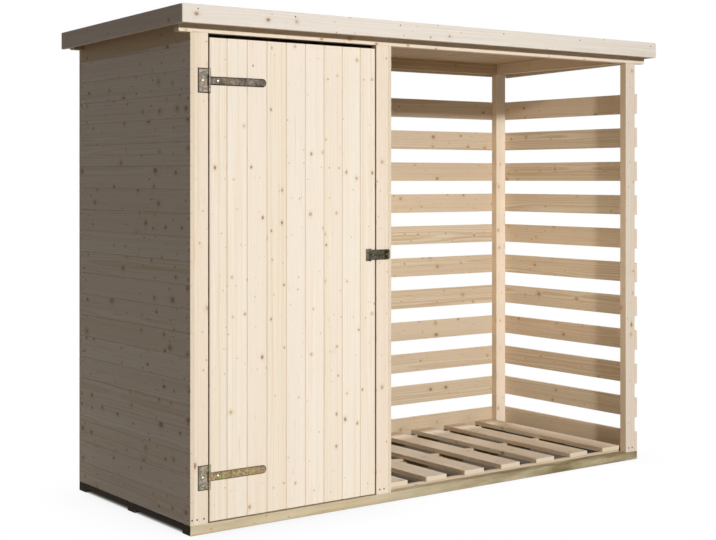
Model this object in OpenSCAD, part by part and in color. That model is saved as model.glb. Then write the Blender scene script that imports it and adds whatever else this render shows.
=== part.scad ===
// Log store with a tool cupboard: a softwood frame on three bearers, an open bay with slatted
// sides, and a matchboarded cupboard with a ledged and braced door. Millimetres, +Z up, front at -Y.
// The origin lies on the ground under the middle of the base.

/* [Base] */
// Length of the base over both end walls
store_len = 2486; // [2200:1:2800]
// Depth of the base from the front of the posts to the back of the cladding
store_dep = 986; // [800:1:1200]
// Height of the joists that tie the bearers at both ends
joist_h = 22; // [15:1:36]

/* [Framing timber] */
// Wide side of the framing timber
timber_w = 63; // [50:1:75]
// Narrow side of the framing timber
timber_t = 38; // [32:1:45]
// Flat planed on the long edges of the posts
post_arris = 2; // [1:0.5:4]
// Height of the posts between bearer and header
post_h = 1890; // [1700:1:2050]

/* [Cladding] */
// Thickness of the matchboards and the slats
board_t = 16; // [12:0.5:20]
// Width that one matchboard covers
board_cover = 92; // [80:1:115]
// Width of the V joint between two boards
vee_w = 6; // [3:0.5:10]
// Depth of the V joint
vee_d = 3; // [1.5:0.5:5]
// Height of the raking board at the top of the left wall
left_rake_h = 103; // [90:1:130]

/* [Slats] */
// Height of one slat
slat_h = 95; // [70:1:115]
// Step from one slat to the next
slat_pitch = 164.7; // [120:0.1:220]
// Least gap between the top slat and the boards under the roof
slat_top_gap = 60; // [20:1:100]
// Height of the raking board above the right slats
right_rake_h = 70; // [40:1:110]
// Height of the board above the back slats
back_top_h = 62; // [40:1:110]

/* [Floor] */
// Thickness of the floor battens
batten_t = 10; // [6:1:20]
// Width of the floor battens
batten_w = 20; // [15:1:22]
// Thickness of the floor boards
floor_t = 20; // [14:1:26]
// Width of one bay floor slat
floor_slat_w = 115; // [90:1:140]
// Number of floor slats in the bay
bay_slat_count = 7; // [5:1:9]
// Number of floor boards in the cupboard
cupboard_board_count = 8; // [6:1:10]
// Gap between cupboard floor boards and round the floors
floor_gap = 2; // [1:0.5:4]
// Gap beside the bay floor
bay_side_gap = 5; // [2:1:12]

/* [Roof] */
// Height of the front header
front_header_h = 72; // [60:1:100]
// Fall of the roof from front to back over the depth of the base
roof_fall = 20; // [10:1:40]
// Thickness of the roof boards
deck_t = 18; // [14:1:24]
// Thickness of the roof felt
felt_t = 3; // [2:0.5:5]
// Reach of the roof boards beyond the front of the posts
front_overhang = 43; // [30:1:70]
// Reach of the roof beyond each end wall
side_overhang = 50; // [30:1:80]
// Reach of the eaves board beyond the back of the cladding
rear_overhang = 37; // [30:1:70]
// Reach of the felt beyond the eaves board
felt_drip = 6; // [3:1:15]
// Thickness of the fascia boards
fascia_t = 18; // [14:1:24]
// Height of the fascia boards
fascia_h = 72; // [60:1:95]
// Height of the fascia above the felt
fascia_lip = 6; // [2:1:12]
// Height of the eaves board at the back
eaves_h = 60; // [45:1:80]

/* [Door] */
// Width of the door
door_w = 800; // [650:1:900]
// Thickness of the door boards
door_t = 16; // [12:0.5:20]
// Gap between the door and each post
door_gap = 6; // [5:0.5:10]
// Gap between the door and the bearer
door_bottom_gap = 6; // [5:1:12]
// Gap between the door and the header
door_top_gap = 16; // [8:1:25]
// Height of the two ledges behind the door
ledge_h = 95; // [70:1:120]
// Thickness of the ledges and the brace
ledge_t = 16; // [12:0.5:20]
// Distance from the door's edge to the ends of the ledges
ledge_inset = 35; // [30:1:60]
// Width of the brace between the ledges
brace_w = 95; // [70:1:120]

/* [Hinges] */
// Height of the lower hinge above the ground
lower_hinge_z = 217; // [180:1:300]
// Distance from the header down to the upper hinge
upper_hinge_drop = 183; // [140:1:260]
// Thickness of the hinge metal
hinge_t = 3; // [2:0.5:4]
// Width of the hinge plate on the post
hinge_plate_w = 44; // [35:1:50]
// Height of the hinge plate
hinge_plate_h = 96; // [80:1:120]
// Reach of the strap from the pin to its tip
hinge_strap_len = 260; // [200:1:350]
// Height of the strap
hinge_strap_h = 33; // [26:1:40]
// Outer radius of the hinge knuckle
hinge_knuckle_r = 5; // [4.5:0.25:6]
// Radius of the hinge pin
hinge_pin_r = 3; // [2.5:0.25:3.5]
// Radius of the screw holes in the hinges
screw_hole_r = 2.5; // [2:0.25:3]
// Step between the screw holes in the hinge plate
plate_hole_step = 34; // [26:1:38]
// Distance from the pin to the first screw hole in the strap
strap_hole_lead = 40; // [25:1:60]

/* [Hasp] */
// Height of the hasp above the ground
hasp_z = 1048; // [900:1:1200]
// Thickness of the hasp metal
hasp_t = 2.5; // [2:0.25:3]
// Distance from the door's edge to the hasp pin
hasp_pin_inset = 27; // [24:1:40]
// Width of the hasp leaf from its edge to the pin
hasp_leaf_w = 23; // [18:1:30]
// Height of the hasp leaf
hasp_leaf_h = 51; // [46:1:60]
// Length of the hasp strap from the pin to its tip
hasp_strap_len = 100; // [96:1:115]
// Height of the hasp strap
hasp_strap_h = 42; // [36:1:45]
// Height of the hasp strap's knuckle
hasp_eye_h = 27; // [20:1:32]
// Length of the chamfered tip of the strap
hasp_tip = 6; // [4:1:8]
// Outer radius of the hasp knuckle
hasp_knuckle_r = 4; // [3.5:0.25:4.5]
// Radius of the hasp pin
hasp_pin_r = 1.75; // [1.5:0.25:2.25]
// Distance from the cupboard side of the middle post to the staple
staple_offset = 47; // [44:1:48]
// Thickness of the staple tab
staple_t = 4; // [3:0.5:5]
// Height of the staple tab
staple_h = 27; // [22:1:28]
// Radius of the round corners of the staple tab
staple_nose_r = 9; // [8:0.5:10]
// Radius of the padlock eye in the staple
padlock_eye_r = 6; // [4:0.25:6.5]
// Distance from the post's face to the middle of the padlock eye
padlock_eye_reach = 13; // [12:0.5:18]
// Width of the staple's base plate
staple_plate_w = 26; // [20:1:28]
// Height of the staple's base plate
staple_plate_h = 34; // [26:1:36]

/* [Clearances] */
// Gap between the roof boards and the framing under them
roof_seat_gap = 0.3; // [0.2:0.05:0.5]
// Radial clearance between a pin and its knuckle
pin_clearance = 0.1; // [0.05:0.01:0.2]
// Axial gap between two knuckles
knuckle_gap = 0.5; // [0.3:0.1:1]
// Gap between a knuckle and the metal or wood beside it
knuckle_relief = 0.5; // [0.3:0.1:1]
// Gap between the closed hasp strap and the staple's base plate
hasp_seat_gap = 0.5; // [0.3:0.1:1.5]
// Gap round the staple in the hasp slot
slot_gap = 2; // [1.5:0.25:3]

/* [Hidden] */
$fn = 48;

// Heights of the frame
bearer_h = timber_t;
ring_z = bearer_h + post_h;
deck_z = ring_z + front_header_h;
roof_slope = atan(roof_fall / store_dep);

// Lines across the depth, measured from the front of the posts
inner_back_y = store_dep - board_t;
rear_post_y = inner_back_y - timber_t;
middle_bearer_y = (store_dep - timber_w) / 2;
rear_bearer_y = store_dep - timber_w;
deck_rear_y = store_dep + rear_overhang - fascia_t;
roof_rear_y = store_dep + rear_overhang;

// Lines along the length, measured from the left end
left_post_x = board_t;
door_x = left_post_x + timber_w + door_gap;
middle_post_x = door_x + door_w + door_gap;
partition_x = middle_post_x + timber_w;
bay_x = partition_x + board_t;
right_slat_x = store_len - board_t;
right_post_x = right_slat_x - timber_w;
back_joint_x = middle_post_x + timber_w / 2;

// Levels of the floor and the door
floor_z = bearer_h + batten_t;
door_z = bearer_h + door_bottom_gap;
door_h = ring_z - door_top_gap - door_z;
upper_hinge_z = ring_z - upper_hinge_drop;

// As many slats as the height has room for, from the bearers up to the boards under the roof
roof_boards_z = deck_z - roof_fall - max(back_top_h, right_rake_h);
slat_count = floor((roof_boards_z - slat_top_gap - slat_h - bearer_h) / slat_pitch) + 1;

// Floor boards start behind the front posts and end before the back cladding
floor_y = timber_t + floor_gap;
floor_len = inner_back_y - floor_gap - floor_y;

// Hinge axis in the middle of the door's gap, clear of the wood by the knuckle's relief
hinge_x = door_x - door_gap / 2;
hinge_y = -hinge_knuckle_r - knuckle_relief;

// Hasp axis over the door, with the strap in the plane of its pin
hasp_x = door_x + door_w - hasp_pin_inset;
hasp_y = -hasp_t * 1.5 - hasp_seat_gap;
staple_x = middle_post_x + staple_offset;

// Underside of the roof boards at a distance behind the front of the posts
function deck_under(y) = deck_z - y * tan(roof_slope);

// Height of a layer measured plumb through the sloping roof
function plumb(t) = t / cos(roof_slope);

// Lower edge of the raking board on the left wall
function left_rake_z(y) = deck_under(y) - left_rake_h;

// Top of the fascia boards at a distance behind the front of the posts
function fascia_top(y) = deck_under(y) + plumb(deck_t + felt_t) + fascia_lip;

// Moves the corner of the base, from which all lines are measured, so that the origin is central
module from_corner() {
    translate([-store_len / 2, -store_dep / 2, 0])
        children();
}

// A straight timber between two corners
module timber(low, high) {
    translate(low)
        cube(high - low);
}

// A plate drawn across the depth (y, z) and given its thickness along the length
module across(x, thickness) {
    translate([x, 0, 0])
        rotate([90, 0, 90])
            linear_extrude(thickness)
                children();
}

// A plate drawn on the front (x, z) and given its thickness towards the back
module upright(y, thickness) {
    translate([0, y + thickness, 0])
        rotate([90, 0, 0])
            linear_extrude(thickness)
                children();
}

// Section through a row of matchboards: the faces run along u from u_low to u_high with a V joint
// between boards, and the back lies at v = thickness
module matchboard_section(u_low, u_high, first_joint, thickness) {
    joints = [for (u = [first_joint : board_cover : u_high - vee_w]) u];
    face = [for (u = joints) each [[u - vee_w / 2, 0], [u, vee_d], [u + vee_w / 2, 0]]];
    polygon(concat([[u_low, 0]], face, [[u_high, 0], [u_high, thickness], [u_low, thickness]]));
}

// Base: three bearers on the ground, tied by joists at both ends
module bearer(y) {
    color("darkkhaki")
        from_corner()
            timber([0, y, 0], [store_len, y + timber_w, bearer_h]);
}
module front_bearer() {
    bearer(0);
}
module middle_bearer() {
    bearer(middle_bearer_y);
}
module rear_bearer() {
    bearer(rear_bearer_y);
}

// The two lengths of joist between the bearers at one end
module end_joist(x) {
    color("darkkhaki")
        from_corner()
            for (span = [[timber_w, middle_bearer_y], [middle_bearer_y + timber_w, rear_bearer_y]])
                timber([x, span[0], bearer_h - joist_h], [x + timber_w, span[1], bearer_h]);
}
module left_end_joist() {
    end_joist(0);
}
module right_end_joist() {
    end_joist(store_len - timber_w);
}

// Floor: battens on the bearers, close boards in the cupboard and spaced slats in the bay
module floor_battens() {
    rows = [timber_w - batten_w, (store_dep - batten_w) / 2, rear_bearer_y];
    spans = [
        [board_t + floor_gap, partition_x - floor_gap],
        [bay_x + bay_side_gap, right_post_x - bay_side_gap]
    ];
    color("tan")
        from_corner()
            for (y = rows, span = spans)
                timber([span[0], max(y, floor_y), bearer_h],
                       [span[1], min(y + batten_w, rear_post_y - floor_gap), floor_z]);
}

// Floor boards that run from front to back between two lines
module floor_row(x_low, x_high, count, width) {
    pitch = (x_high - x_low - width) / (count - 1);
    for (i = [0 : count - 1])
        translate([x_low + i * pitch, floor_y, floor_z])
            cube([width, floor_len, floor_t]);
}
module cupboard_floor() {
    x_low = board_t + floor_gap;
    x_high = partition_x - floor_gap;
    width = (x_high - x_low - (cupboard_board_count - 1) * floor_gap) / cupboard_board_count;
    color("burlywood")
        from_corner()
            difference() {
                floor_row(x_low, x_high, cupboard_board_count, width);
                for (x = [left_post_x, middle_post_x])
                    timber([x - floor_gap, rear_post_y - floor_gap, bearer_h],
                           [x + timber_w + floor_gap, store_dep, ring_z]);
            }
}
module bay_floor_slats() {
    color("burlywood")
        from_corner()
            floor_row(bay_x + bay_side_gap, right_post_x - bay_side_gap, bay_slat_count, floor_slat_w);
}

// Posts with planed edges, all of one length
module post(x, y) {
    a = post_arris;
    w = timber_w;
    t = timber_t;
    outline = [[a, 0], [w - a, 0], [w, a], [w, t - a], [w - a, t], [a, t], [0, t - a], [0, a]];
    color("wheat")
        from_corner()
            translate([x, y, bearer_h])
                linear_extrude(post_h)
                    polygon(outline);
}
module front_left_post() {
    post(left_post_x, 0);
}
module front_middle_post() {
    post(middle_post_x, 0);
}
module front_right_post() {
    post(right_post_x, 0);
}
module rear_left_post() {
    post(left_post_x, rear_post_y);
}
module rear_middle_post() {
    post(middle_post_x, rear_post_y);
}
module rear_right_post() {
    post(right_post_x, rear_post_y);
}

// Top ring: level underneath, cut to the roof's fall on top
module header(y) {
    y_back = y + timber_t;
    color("wheat")
        from_corner()
            across(-side_overhang, store_len + 2 * side_overhang)
                polygon([[y, ring_z], [y_back, ring_z], [y_back, deck_under(y_back)], [y, deck_under(y)]]);
}
module front_header() {
    header(0);
}
module rear_header() {
    header(rear_post_y);
}

// A tapered rail between the headers
module rake_rail(x) {
    low = timber_t;
    high = rear_post_y;
    color("wheat")
        from_corner()
            across(x, timber_t)
                polygon([[low, ring_z], [high, ring_z], [high, deck_under(high)], [low, deck_under(low)]]);
}
module left_rake_rail() {
    rake_rail(left_post_x + timber_w - timber_t);
}
module partition_rake_rail() {
    rake_rail(partition_x - timber_t);
}
module right_rake_rail() {
    rake_rail(right_post_x);
}

// Side outline of a wall from the bearers up: it passes under both headers and meets the roof boards
module side_outline() {
    polygon([
        [0, bearer_h], [inner_back_y, bearer_h], [inner_back_y, ring_z], [rear_post_y, ring_z],
        [rear_post_y, deck_under(rear_post_y)], [timber_t, deck_under(timber_t)],
        [timber_t, ring_z], [0, ring_z]
    ]);
}

// The part of the side outline that the raking board takes
module above_left_rake() {
    polygon([
        [0, left_rake_z(0)], [inner_back_y, left_rake_z(inner_back_y)],
        [inner_back_y, deck_z], [0, deck_z]
    ]);
}

// Horizontal matchboards from front to back with their faces at x = 0
module side_matchboards() {
    translate([0, inner_back_y, 0])
        rotate([90, 0, 0])
            linear_extrude(inner_back_y)
                rotate(90)
                    mirror([0, 1])
                        matchboard_section(bearer_h, deck_z, bearer_h + board_cover, board_t);
}
module left_wall() {
    color("antiquewhite")
        from_corner()
            intersection() {
                side_matchboards();
                across(0, board_t)
                    difference() {
                        side_outline();
                        above_left_rake();
                    }
            }
}
module left_rake_board() {
    color("antiquewhite")
        from_corner()
            across(0, board_t)
                intersection() {
                    side_outline();
                    above_left_rake();
                }
}
module partition_wall() {
    color("antiquewhite")
        from_corner()
            intersection() {
                translate([bay_x, 0, 0])
                    mirror([1, 0, 0])
                        side_matchboards();
                across(partition_x, board_t)
                    side_outline();
            }
}

// Boards behind the cupboard, up to the roof boards
module cupboard_back_wall() {
    color("antiquewhite")
        from_corner()
            intersection() {
                across(0, back_joint_x)
                    translate([store_dep, 0])
                        rotate(90)
                            matchboard_section(bearer_h, deck_z, bearer_h + board_cover, board_t);
                across(0, back_joint_x)
                    back_board_outline(bearer_h);
            }
}

// Section of a back board from a level up to the roof boards
module back_board_outline(z_low) {
    polygon([
        [inner_back_y, z_low], [store_dep, z_low],
        [store_dep, deck_under(store_dep)], [inner_back_y, deck_under(inner_back_y)]
    ]);
}

// Slats round the open bay
module back_slats() {
    color("burlywood")
        from_corner()
            for (i = [0 : slat_count - 1])
                translate([back_joint_x, inner_back_y, bearer_h + i * slat_pitch])
                    cube([store_len - back_joint_x, board_t, slat_h]);
}
module back_top_board() {
    color("burlywood")
        from_corner()
            across(back_joint_x, store_len - back_joint_x)
                back_board_outline(deck_under(store_dep) - back_top_h);
}
module right_slats() {
    color("burlywood")
        from_corner()
            for (i = [0 : slat_count - 1])
                translate([right_slat_x, 0, bearer_h + i * slat_pitch])
                    cube([board_t, inner_back_y, slat_h]);
}
module right_rake_board() {
    low = timber_t;
    high = rear_post_y;
    color("burlywood")
        from_corner()
            across(right_slat_x, board_t)
                polygon([
                    [low, deck_under(low) - right_rake_h], [high, deck_under(high) - right_rake_h],
                    [high, deck_under(high)], [low, deck_under(low)]
                ]);
}

// A layer of the roof: children are drawn level with y = 0 over the front of the posts, tilted to
// the fall just clear of the framing, and cut plumb between two lines
module roof_layer(y_low, y_high) {
    intersection() {
        translate([0, 0, deck_z + roof_seat_gap])
            rotate([-roof_slope, 0, 0])
                children();
        timber([-side_overhang, y_low, ring_z],
               [store_len + side_overhang, y_high, deck_z + front_header_h + deck_t]);
    }
}

// Roof boards from front to back, with their V joints underneath
module roof_deck() {
    length = deck_rear_y + front_overhang;
    color("burlywood")
        from_corner()
            roof_layer(-front_overhang, deck_rear_y)
                translate([-side_overhang, deck_rear_y + front_overhang, 0])
                    rotate([90, 0, 0])
                        linear_extrude(length + 2 * front_overhang)
                            matchboard_section(0, store_len + 2 * side_overhang, board_cover, deck_t);
}
module roof_felt() {
    color("dimgray")
        from_corner()
            roof_layer(-front_overhang, roof_rear_y + felt_drip)
                timber([-side_overhang, -2 * front_overhang, deck_t],
                       [store_len + side_overhang, roof_rear_y + 2 * felt_drip, deck_t + felt_t]);
}

// Fascia boards: the front one laps the ends of the side ones
module front_fascia() {
    top = fascia_top(-front_overhang);
    color("linen")
        from_corner()
            timber([-side_overhang - fascia_t, -front_overhang - fascia_t, top - fascia_h],
                   [store_len + side_overhang + fascia_t, -front_overhang, top]);
}
module side_fascia(x) {
    low = -front_overhang;
    high = roof_rear_y;
    color("linen")
        from_corner()
            across(x, fascia_t)
                polygon([
                    [low, fascia_top(low) - fascia_h], [high, fascia_top(high) - fascia_h],
                    [high, fascia_top(high)], [low, fascia_top(low)]
                ]);
}
module left_fascia() {
    side_fascia(-side_overhang - fascia_t);
}
module right_fascia() {
    side_fascia(store_len + side_overhang);
}
module rear_eaves_board() {
    low = deck_rear_y;
    high = roof_rear_y;
    top = plumb(deck_t);
    color("linen")
        from_corner()
            across(-side_overhang, store_len + 2 * side_overhang)
                polygon([
                    [low, deck_under(low) + top - eaves_h], [high, deck_under(low) + top - eaves_h],
                    [high, deck_under(high) + top], [low, deck_under(low) + top]
                ]);
}

// Door: V-jointed matchboards held by two ledges and a brace
module door_boards() {
    edge_board = (door_w % board_cover + board_cover) / 2;
    color("antiquewhite")
        from_corner()
            translate([door_x, 0, door_z])
                linear_extrude(door_h)
                    matchboard_section(0, door_w, edge_board, door_t);
}
module door_ledge(z) {
    color("antiquewhite")
        from_corner()
            timber([door_x + ledge_inset, door_t, z - ledge_h / 2],
                   [door_x + door_w - ledge_inset, door_t + ledge_t, z + ledge_h / 2]);
}
module door_top_ledge() {
    door_ledge(upper_hinge_z);
}
module door_bottom_ledge() {
    door_ledge(lower_hinge_z);
}

// The brace rises from the hinge side of the lower ledge to the latch side of the upper one
module door_brace() {
    x_low = door_x + ledge_inset;
    x_high = door_x + door_w - ledge_inset;
    z_low = lower_hinge_z + ledge_h / 2;
    z_high = upper_hinge_z - ledge_h / 2;
    foot = brace_w / cos(atan((x_high - x_low - brace_w) / (z_high - z_low)));
    color("antiquewhite")
        from_corner()
            upright(door_t, ledge_t)
                polygon([[x_low, z_low], [x_low + foot, z_low], [x_high, z_high], [x_high - foot, z_high]]);
}

// Screw hole through a hinge leaf, seen from the pin
module screw_hole(x, z) {
    translate([x, 0, z])
        rotate([90, 0, 0])
            cylinder(r = screw_hole_r, h = 4 * hinge_knuckle_r, center = true);
}

// T hinge: the plate on the post carries the pin and the outer knuckles
module hinge_plate(z) {
    eye = hinge_strap_h / 2 + knuckle_gap;
    relief = hinge_knuckle_r + knuckle_relief;
    color("darkgray")
        from_corner()
            translate([hinge_x, hinge_y, z])
                union() {
                    cylinder(r = hinge_pin_r, h = hinge_plate_h, center = true);
                    for (side = [-1, 1])
                        translate([0, 0, side * (hinge_plate_h / 2 + eye) / 2])
                            cylinder(r = hinge_knuckle_r, h = hinge_plate_h / 2 - eye, center = true);
                    difference() {
                        timber([-relief - hinge_plate_w, -hinge_y - hinge_t, -hinge_plate_h / 2],
                               [0, -hinge_y, hinge_plate_h / 2]);
                        timber([-relief, -hinge_y - 2 * hinge_t, -eye], [relief, hinge_t - hinge_y, eye]);
                        for (row = [-1 : 1])
                            screw_hole(-relief - hinge_plate_w / 2, row * plate_hole_step);
                    }
                }
}

// The strap turns on the pin with the door and ends in a round tip
module hinge_strap(z) {
    tip_r = hinge_strap_h / 2;
    tip_x = hinge_strap_len - tip_r;
    color("darkgray")
        from_corner()
            translate([hinge_x, hinge_y, z])
                difference() {
                    union() {
                        cylinder(r = hinge_knuckle_r, h = hinge_strap_h, center = true);
                        upright(-hinge_y - hinge_t, hinge_t)
                            union() {
                                translate([0, -tip_r])
                                    square([tip_x, hinge_strap_h]);
                                translate([tip_x, 0])
                                    circle(tip_r);
                            }
                    }
                    cylinder(r = hinge_pin_r + pin_clearance, h = 2 * hinge_strap_h, center = true);
                    for (x = [strap_hole_lead, (strap_hole_lead + tip_x) / 2, tip_x])
                        screw_hole(x, 0);
                }
}
module upper_hinge_plate() {
    hinge_plate(upper_hinge_z);
}
module upper_hinge_strap() {
    hinge_strap(upper_hinge_z);
}
module lower_hinge_plate() {
    hinge_plate(lower_hinge_z);
}
module lower_hinge_strap() {
    hinge_strap(lower_hinge_z);
}

// Hasp: the leaf on the door carries the pin, and the strap reaches over the middle post
module hasp_plate() {
    eye = hasp_eye_h / 2 + knuckle_gap;
    relief = hasp_knuckle_r + knuckle_relief;
    color("dimgray")
        from_corner()
            translate([hasp_x, hasp_y, hasp_z])
                union() {
                    cylinder(r = hasp_pin_r, h = hasp_leaf_h, center = true);
                    for (side = [-1, 1])
                        translate([0, 0, side * (hasp_leaf_h / 2 + eye) / 2])
                            cylinder(r = hasp_knuckle_r, h = hasp_leaf_h / 2 - eye, center = true);
                    difference() {
                        timber([-hasp_leaf_w, -hasp_y - hasp_t, -hasp_leaf_h / 2],
                               [0, -hasp_y, hasp_leaf_h / 2]);
                        timber([-relief, -hasp_y - 2 * hasp_t, -eye], [relief, hasp_t - hasp_y, eye]);
                    }
                }
}
module hasp_strap() {
    neck = hasp_knuckle_r + knuckle_relief;
    half = hasp_strap_h / 2;
    nose = half - hasp_tip;
    body_end = hasp_strap_len - hasp_tip;
    slot_x = staple_x - hasp_x;
    slot_w = staple_t + 2 * slot_gap;
    slot_h = staple_h + 2 * slot_gap;
    outline = [
        [0, -hasp_eye_h / 2], [neck, -hasp_eye_h / 2], [neck, -half], [body_end, -half],
        [hasp_strap_len, -nose], [hasp_strap_len, nose], [body_end, half], [neck, half],
        [neck, hasp_eye_h / 2], [0, hasp_eye_h / 2]
    ];
    color("dimgray")
        from_corner()
            translate([hasp_x, hasp_y, hasp_z])
                difference() {
                    union() {
                        cylinder(r = hasp_knuckle_r, h = hasp_eye_h, center = true);
                        upright(-hasp_t / 2, hasp_t)
                            polygon(outline);
                    }
                    cylinder(r = hasp_pin_r + pin_clearance, h = 2 * hasp_eye_h, center = true);
                    timber([slot_x - slot_w / 2, -2 * hasp_t, -slot_h / 2],
                           [slot_x + slot_w / 2, 2 * hasp_t, slot_h / 2]);
                }
}

// Staple on the middle post: an upright tab with round corners and the padlock eye, on a base plate
module staple() {
    spread = staple_h / 2 - staple_nose_r;
    color("dimgray")
        from_corner()
            translate([staple_x, 0, hasp_z])
                union() {
                    timber([staple_t / 2 - staple_plate_w / 2, -hasp_t, -staple_plate_h / 2],
                           [staple_plate_w / 2 - staple_t / 2, 0, staple_plate_h / 2]);
                    across(-staple_t / 2, staple_t)
                        difference() {
                            union() {
                                for (side = [-1, 1])
                                    translate([-padlock_eye_reach, side * spread])
                                        circle(staple_nose_r);
                                translate([-padlock_eye_reach - staple_nose_r, -spread])
                                    square([padlock_eye_reach + staple_nose_r, 2 * spread]);
                                translate([-padlock_eye_reach, -staple_h / 2])
                                    square([padlock_eye_reach, staple_h]);
                            }
                            translate([-padlock_eye_reach, 0])
                                circle(padlock_eye_r);
                        }
                }
}

front_bearer();
middle_bearer();
rear_bearer();
left_end_joist();
right_end_joist();
floor_battens();
cupboard_floor();
bay_floor_slats();
front_left_post();
front_middle_post();
front_right_post();
rear_left_post();
rear_middle_post();
rear_right_post();
front_header();
rear_header();
left_rake_rail();
partition_rake_rail();
right_rake_rail();
left_wall();
left_rake_board();
partition_wall();
cupboard_back_wall();
back_slats();
back_top_board();
right_slats();
right_rake_board();
roof_deck();
roof_felt();
front_fascia();
left_fascia();
right_fascia();
rear_eaves_board();
door_boards();
door_top_ledge();
door_bottom_ledge();
door_brace();
upper_hinge_plate();
upper_hinge_strap();
lower_hinge_plate();
lower_hinge_strap();
hasp_plate();
hasp_strap();
staple();
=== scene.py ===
# %% [markdown]
# # A log store with a tool cupboard
# The store is a softwood frame on three bearers. The left third is a matchboarded cupboard with a hung
# door, the rest is an open bay with slatted sides, and one low felted roof covers both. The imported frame
# already holds every timber at its real size, so this lesson never moves or resizes anything. It saws
# each board again with planed edges and its own run of grain, and gives every surface its finish.

# %% Load the frame
import math
import random

import bmesh
import bpy
from mathutils import Matrix, Vector


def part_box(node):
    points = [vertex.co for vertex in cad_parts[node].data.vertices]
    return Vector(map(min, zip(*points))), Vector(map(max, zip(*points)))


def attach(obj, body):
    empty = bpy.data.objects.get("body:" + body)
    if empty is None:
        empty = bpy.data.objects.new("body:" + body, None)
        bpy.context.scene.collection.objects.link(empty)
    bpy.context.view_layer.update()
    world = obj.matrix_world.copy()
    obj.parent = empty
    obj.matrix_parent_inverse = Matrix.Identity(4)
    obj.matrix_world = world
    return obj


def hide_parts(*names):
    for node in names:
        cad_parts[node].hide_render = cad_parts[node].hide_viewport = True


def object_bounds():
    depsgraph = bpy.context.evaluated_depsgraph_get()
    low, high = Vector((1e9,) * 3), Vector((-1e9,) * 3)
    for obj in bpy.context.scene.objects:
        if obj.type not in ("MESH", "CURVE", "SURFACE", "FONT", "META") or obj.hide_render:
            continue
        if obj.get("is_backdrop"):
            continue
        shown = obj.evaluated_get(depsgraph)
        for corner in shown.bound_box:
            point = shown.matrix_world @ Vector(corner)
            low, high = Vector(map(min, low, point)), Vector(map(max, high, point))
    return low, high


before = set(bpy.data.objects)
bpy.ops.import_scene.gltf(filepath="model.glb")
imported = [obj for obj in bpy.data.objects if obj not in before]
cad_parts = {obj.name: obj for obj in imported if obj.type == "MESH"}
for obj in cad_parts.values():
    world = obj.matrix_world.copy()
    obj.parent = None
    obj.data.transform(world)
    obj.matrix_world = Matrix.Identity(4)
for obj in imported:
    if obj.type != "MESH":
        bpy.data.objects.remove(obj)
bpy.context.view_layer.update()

# %% [markdown]
# ## The camera
# The store is looked at by a level camera at chest height, from the front left. A level camera keeps every
# post upright in the picture, and the lens is shifted down instead of tilted so that the base still shows.
# The place, the turn and the focal length come from the straight edges of the posts, slats and bearers.

# %% Set up the camera
CAMERA_PLACE = (-3.857, -5.132, 1.367)
CAMERA_TURN = math.radians(36.31)
FOCAL_LENGTH_MM = 69.59
SENSOR_WIDTH_MM = 36
LENS_SHIFT = -0.1276

scene = bpy.context.scene
camera_data = bpy.data.cameras.new("camera")
camera_data.sensor_fit = "HORIZONTAL"
camera_data.sensor_width = SENSOR_WIDTH_MM
camera_data.lens = FOCAL_LENGTH_MM
camera_data.shift_y = LENS_SHIFT
camera = bpy.data.objects.new("camera", camera_data)
camera.location = CAMERA_PLACE
camera.rotation_euler = (math.radians(90), 0, -CAMERA_TURN)
scene.collection.objects.link(camera)
scene.camera = camera
scene.view_settings.view_transform = "Standard"
print("camera turned by", round(math.degrees(CAMERA_TURN), 1), "degrees")

# %% [markdown]
# ## Light
# One small key lamp stands far in front of the left corner, at twice the height of the roof. It reaches
# the fronts of all the boards and goes deep into the bay, while the left wall stays in its own shade, so
# the two sides of the corner read clearly. A large soft lamp behind the right end models the back, and a
# weak even world fills the shade. Pale boards throw light on each other, more than the few bounces of a
# render carry, so a faint warm lamp in the bay helps there; the camera doesn't see it. A lamp's spread works
# as a grid in front of it, and with the key lamp aimed low it evens out the light from the roof to the
# ground. The numbers are set so that a colour renders about as it is written.

# %% Add the lamps and the world
KEY_PLACE = Vector((-1.16, -8.86, 4.03))
KEY_AIM = Vector((0.3, -0.5, -1.2))
KEY_WATTS = 305
KEY_SIZE = 0.6
KEY_SPREAD = math.radians(115)
BACK_PLACE = Vector((4.5, 6.0, 4.5))
BACK_AIM = Vector((0, 0, 1.0))
BACK_WATTS = 420
BACK_SIZE = 3.0
BAY_PLACE = Vector((-0.22, -0.05, 1.05))
BAY_AIM = Vector((1.2, -0.05, 1.05))
BAY_WATTS = 2.5
BAY_SIZE = 0.8
BAY_SPREAD = math.radians(100)
BAY_TINT = (1, 0.92, 0.8)
FILL_STRENGTH = 0.09
FILL_TINT = (1.0, 0.95, 0.9, 1)
WHITE = (1, 1, 1, 1)


def soft_lamp(name, place, aim, watts, size, spread=math.pi, colour=(1, 1, 1)):
    """A round area lamp that points from one place to another."""
    lamp_data = bpy.data.lights.new(name, "AREA")
    lamp_data.shape = "DISK"
    lamp_data.size = size
    lamp_data.energy = watts
    lamp_data.spread = spread
    lamp_data.color = colour
    lamp = bpy.data.objects.new(name, lamp_data)
    lamp.location = place
    lamp.rotation_euler = (aim - place).to_track_quat("-Z", "Y").to_euler()
    scene.collection.objects.link(lamp)
    return lamp


def put(tree, value, socket):
    """Link a node's output to a socket, or set a plain value on it."""
    if isinstance(value, bpy.types.NodeSocket):
        tree.links.new(value, socket)
    else:
        socket.default_value = value


def calc(tree, operation, *values):
    """A Math node of the given operation, from sockets or numbers."""
    step = tree.nodes.new("ShaderNodeMath")
    step.operation = operation
    for value, socket in zip(values, step.inputs):
        put(tree, value, socket)
    return step.outputs[0]


def mix(tree, share, first, second, mode="MIX"):
    """A colour between two colours."""
    step = tree.nodes.new("ShaderNodeMix")
    step.data_type = "RGBA"
    step.blend_type = mode
    put(tree, share, step.inputs[0])
    put(tree, first, step.inputs[6])
    put(tree, second, step.inputs[7])
    return step.outputs[2]


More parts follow.
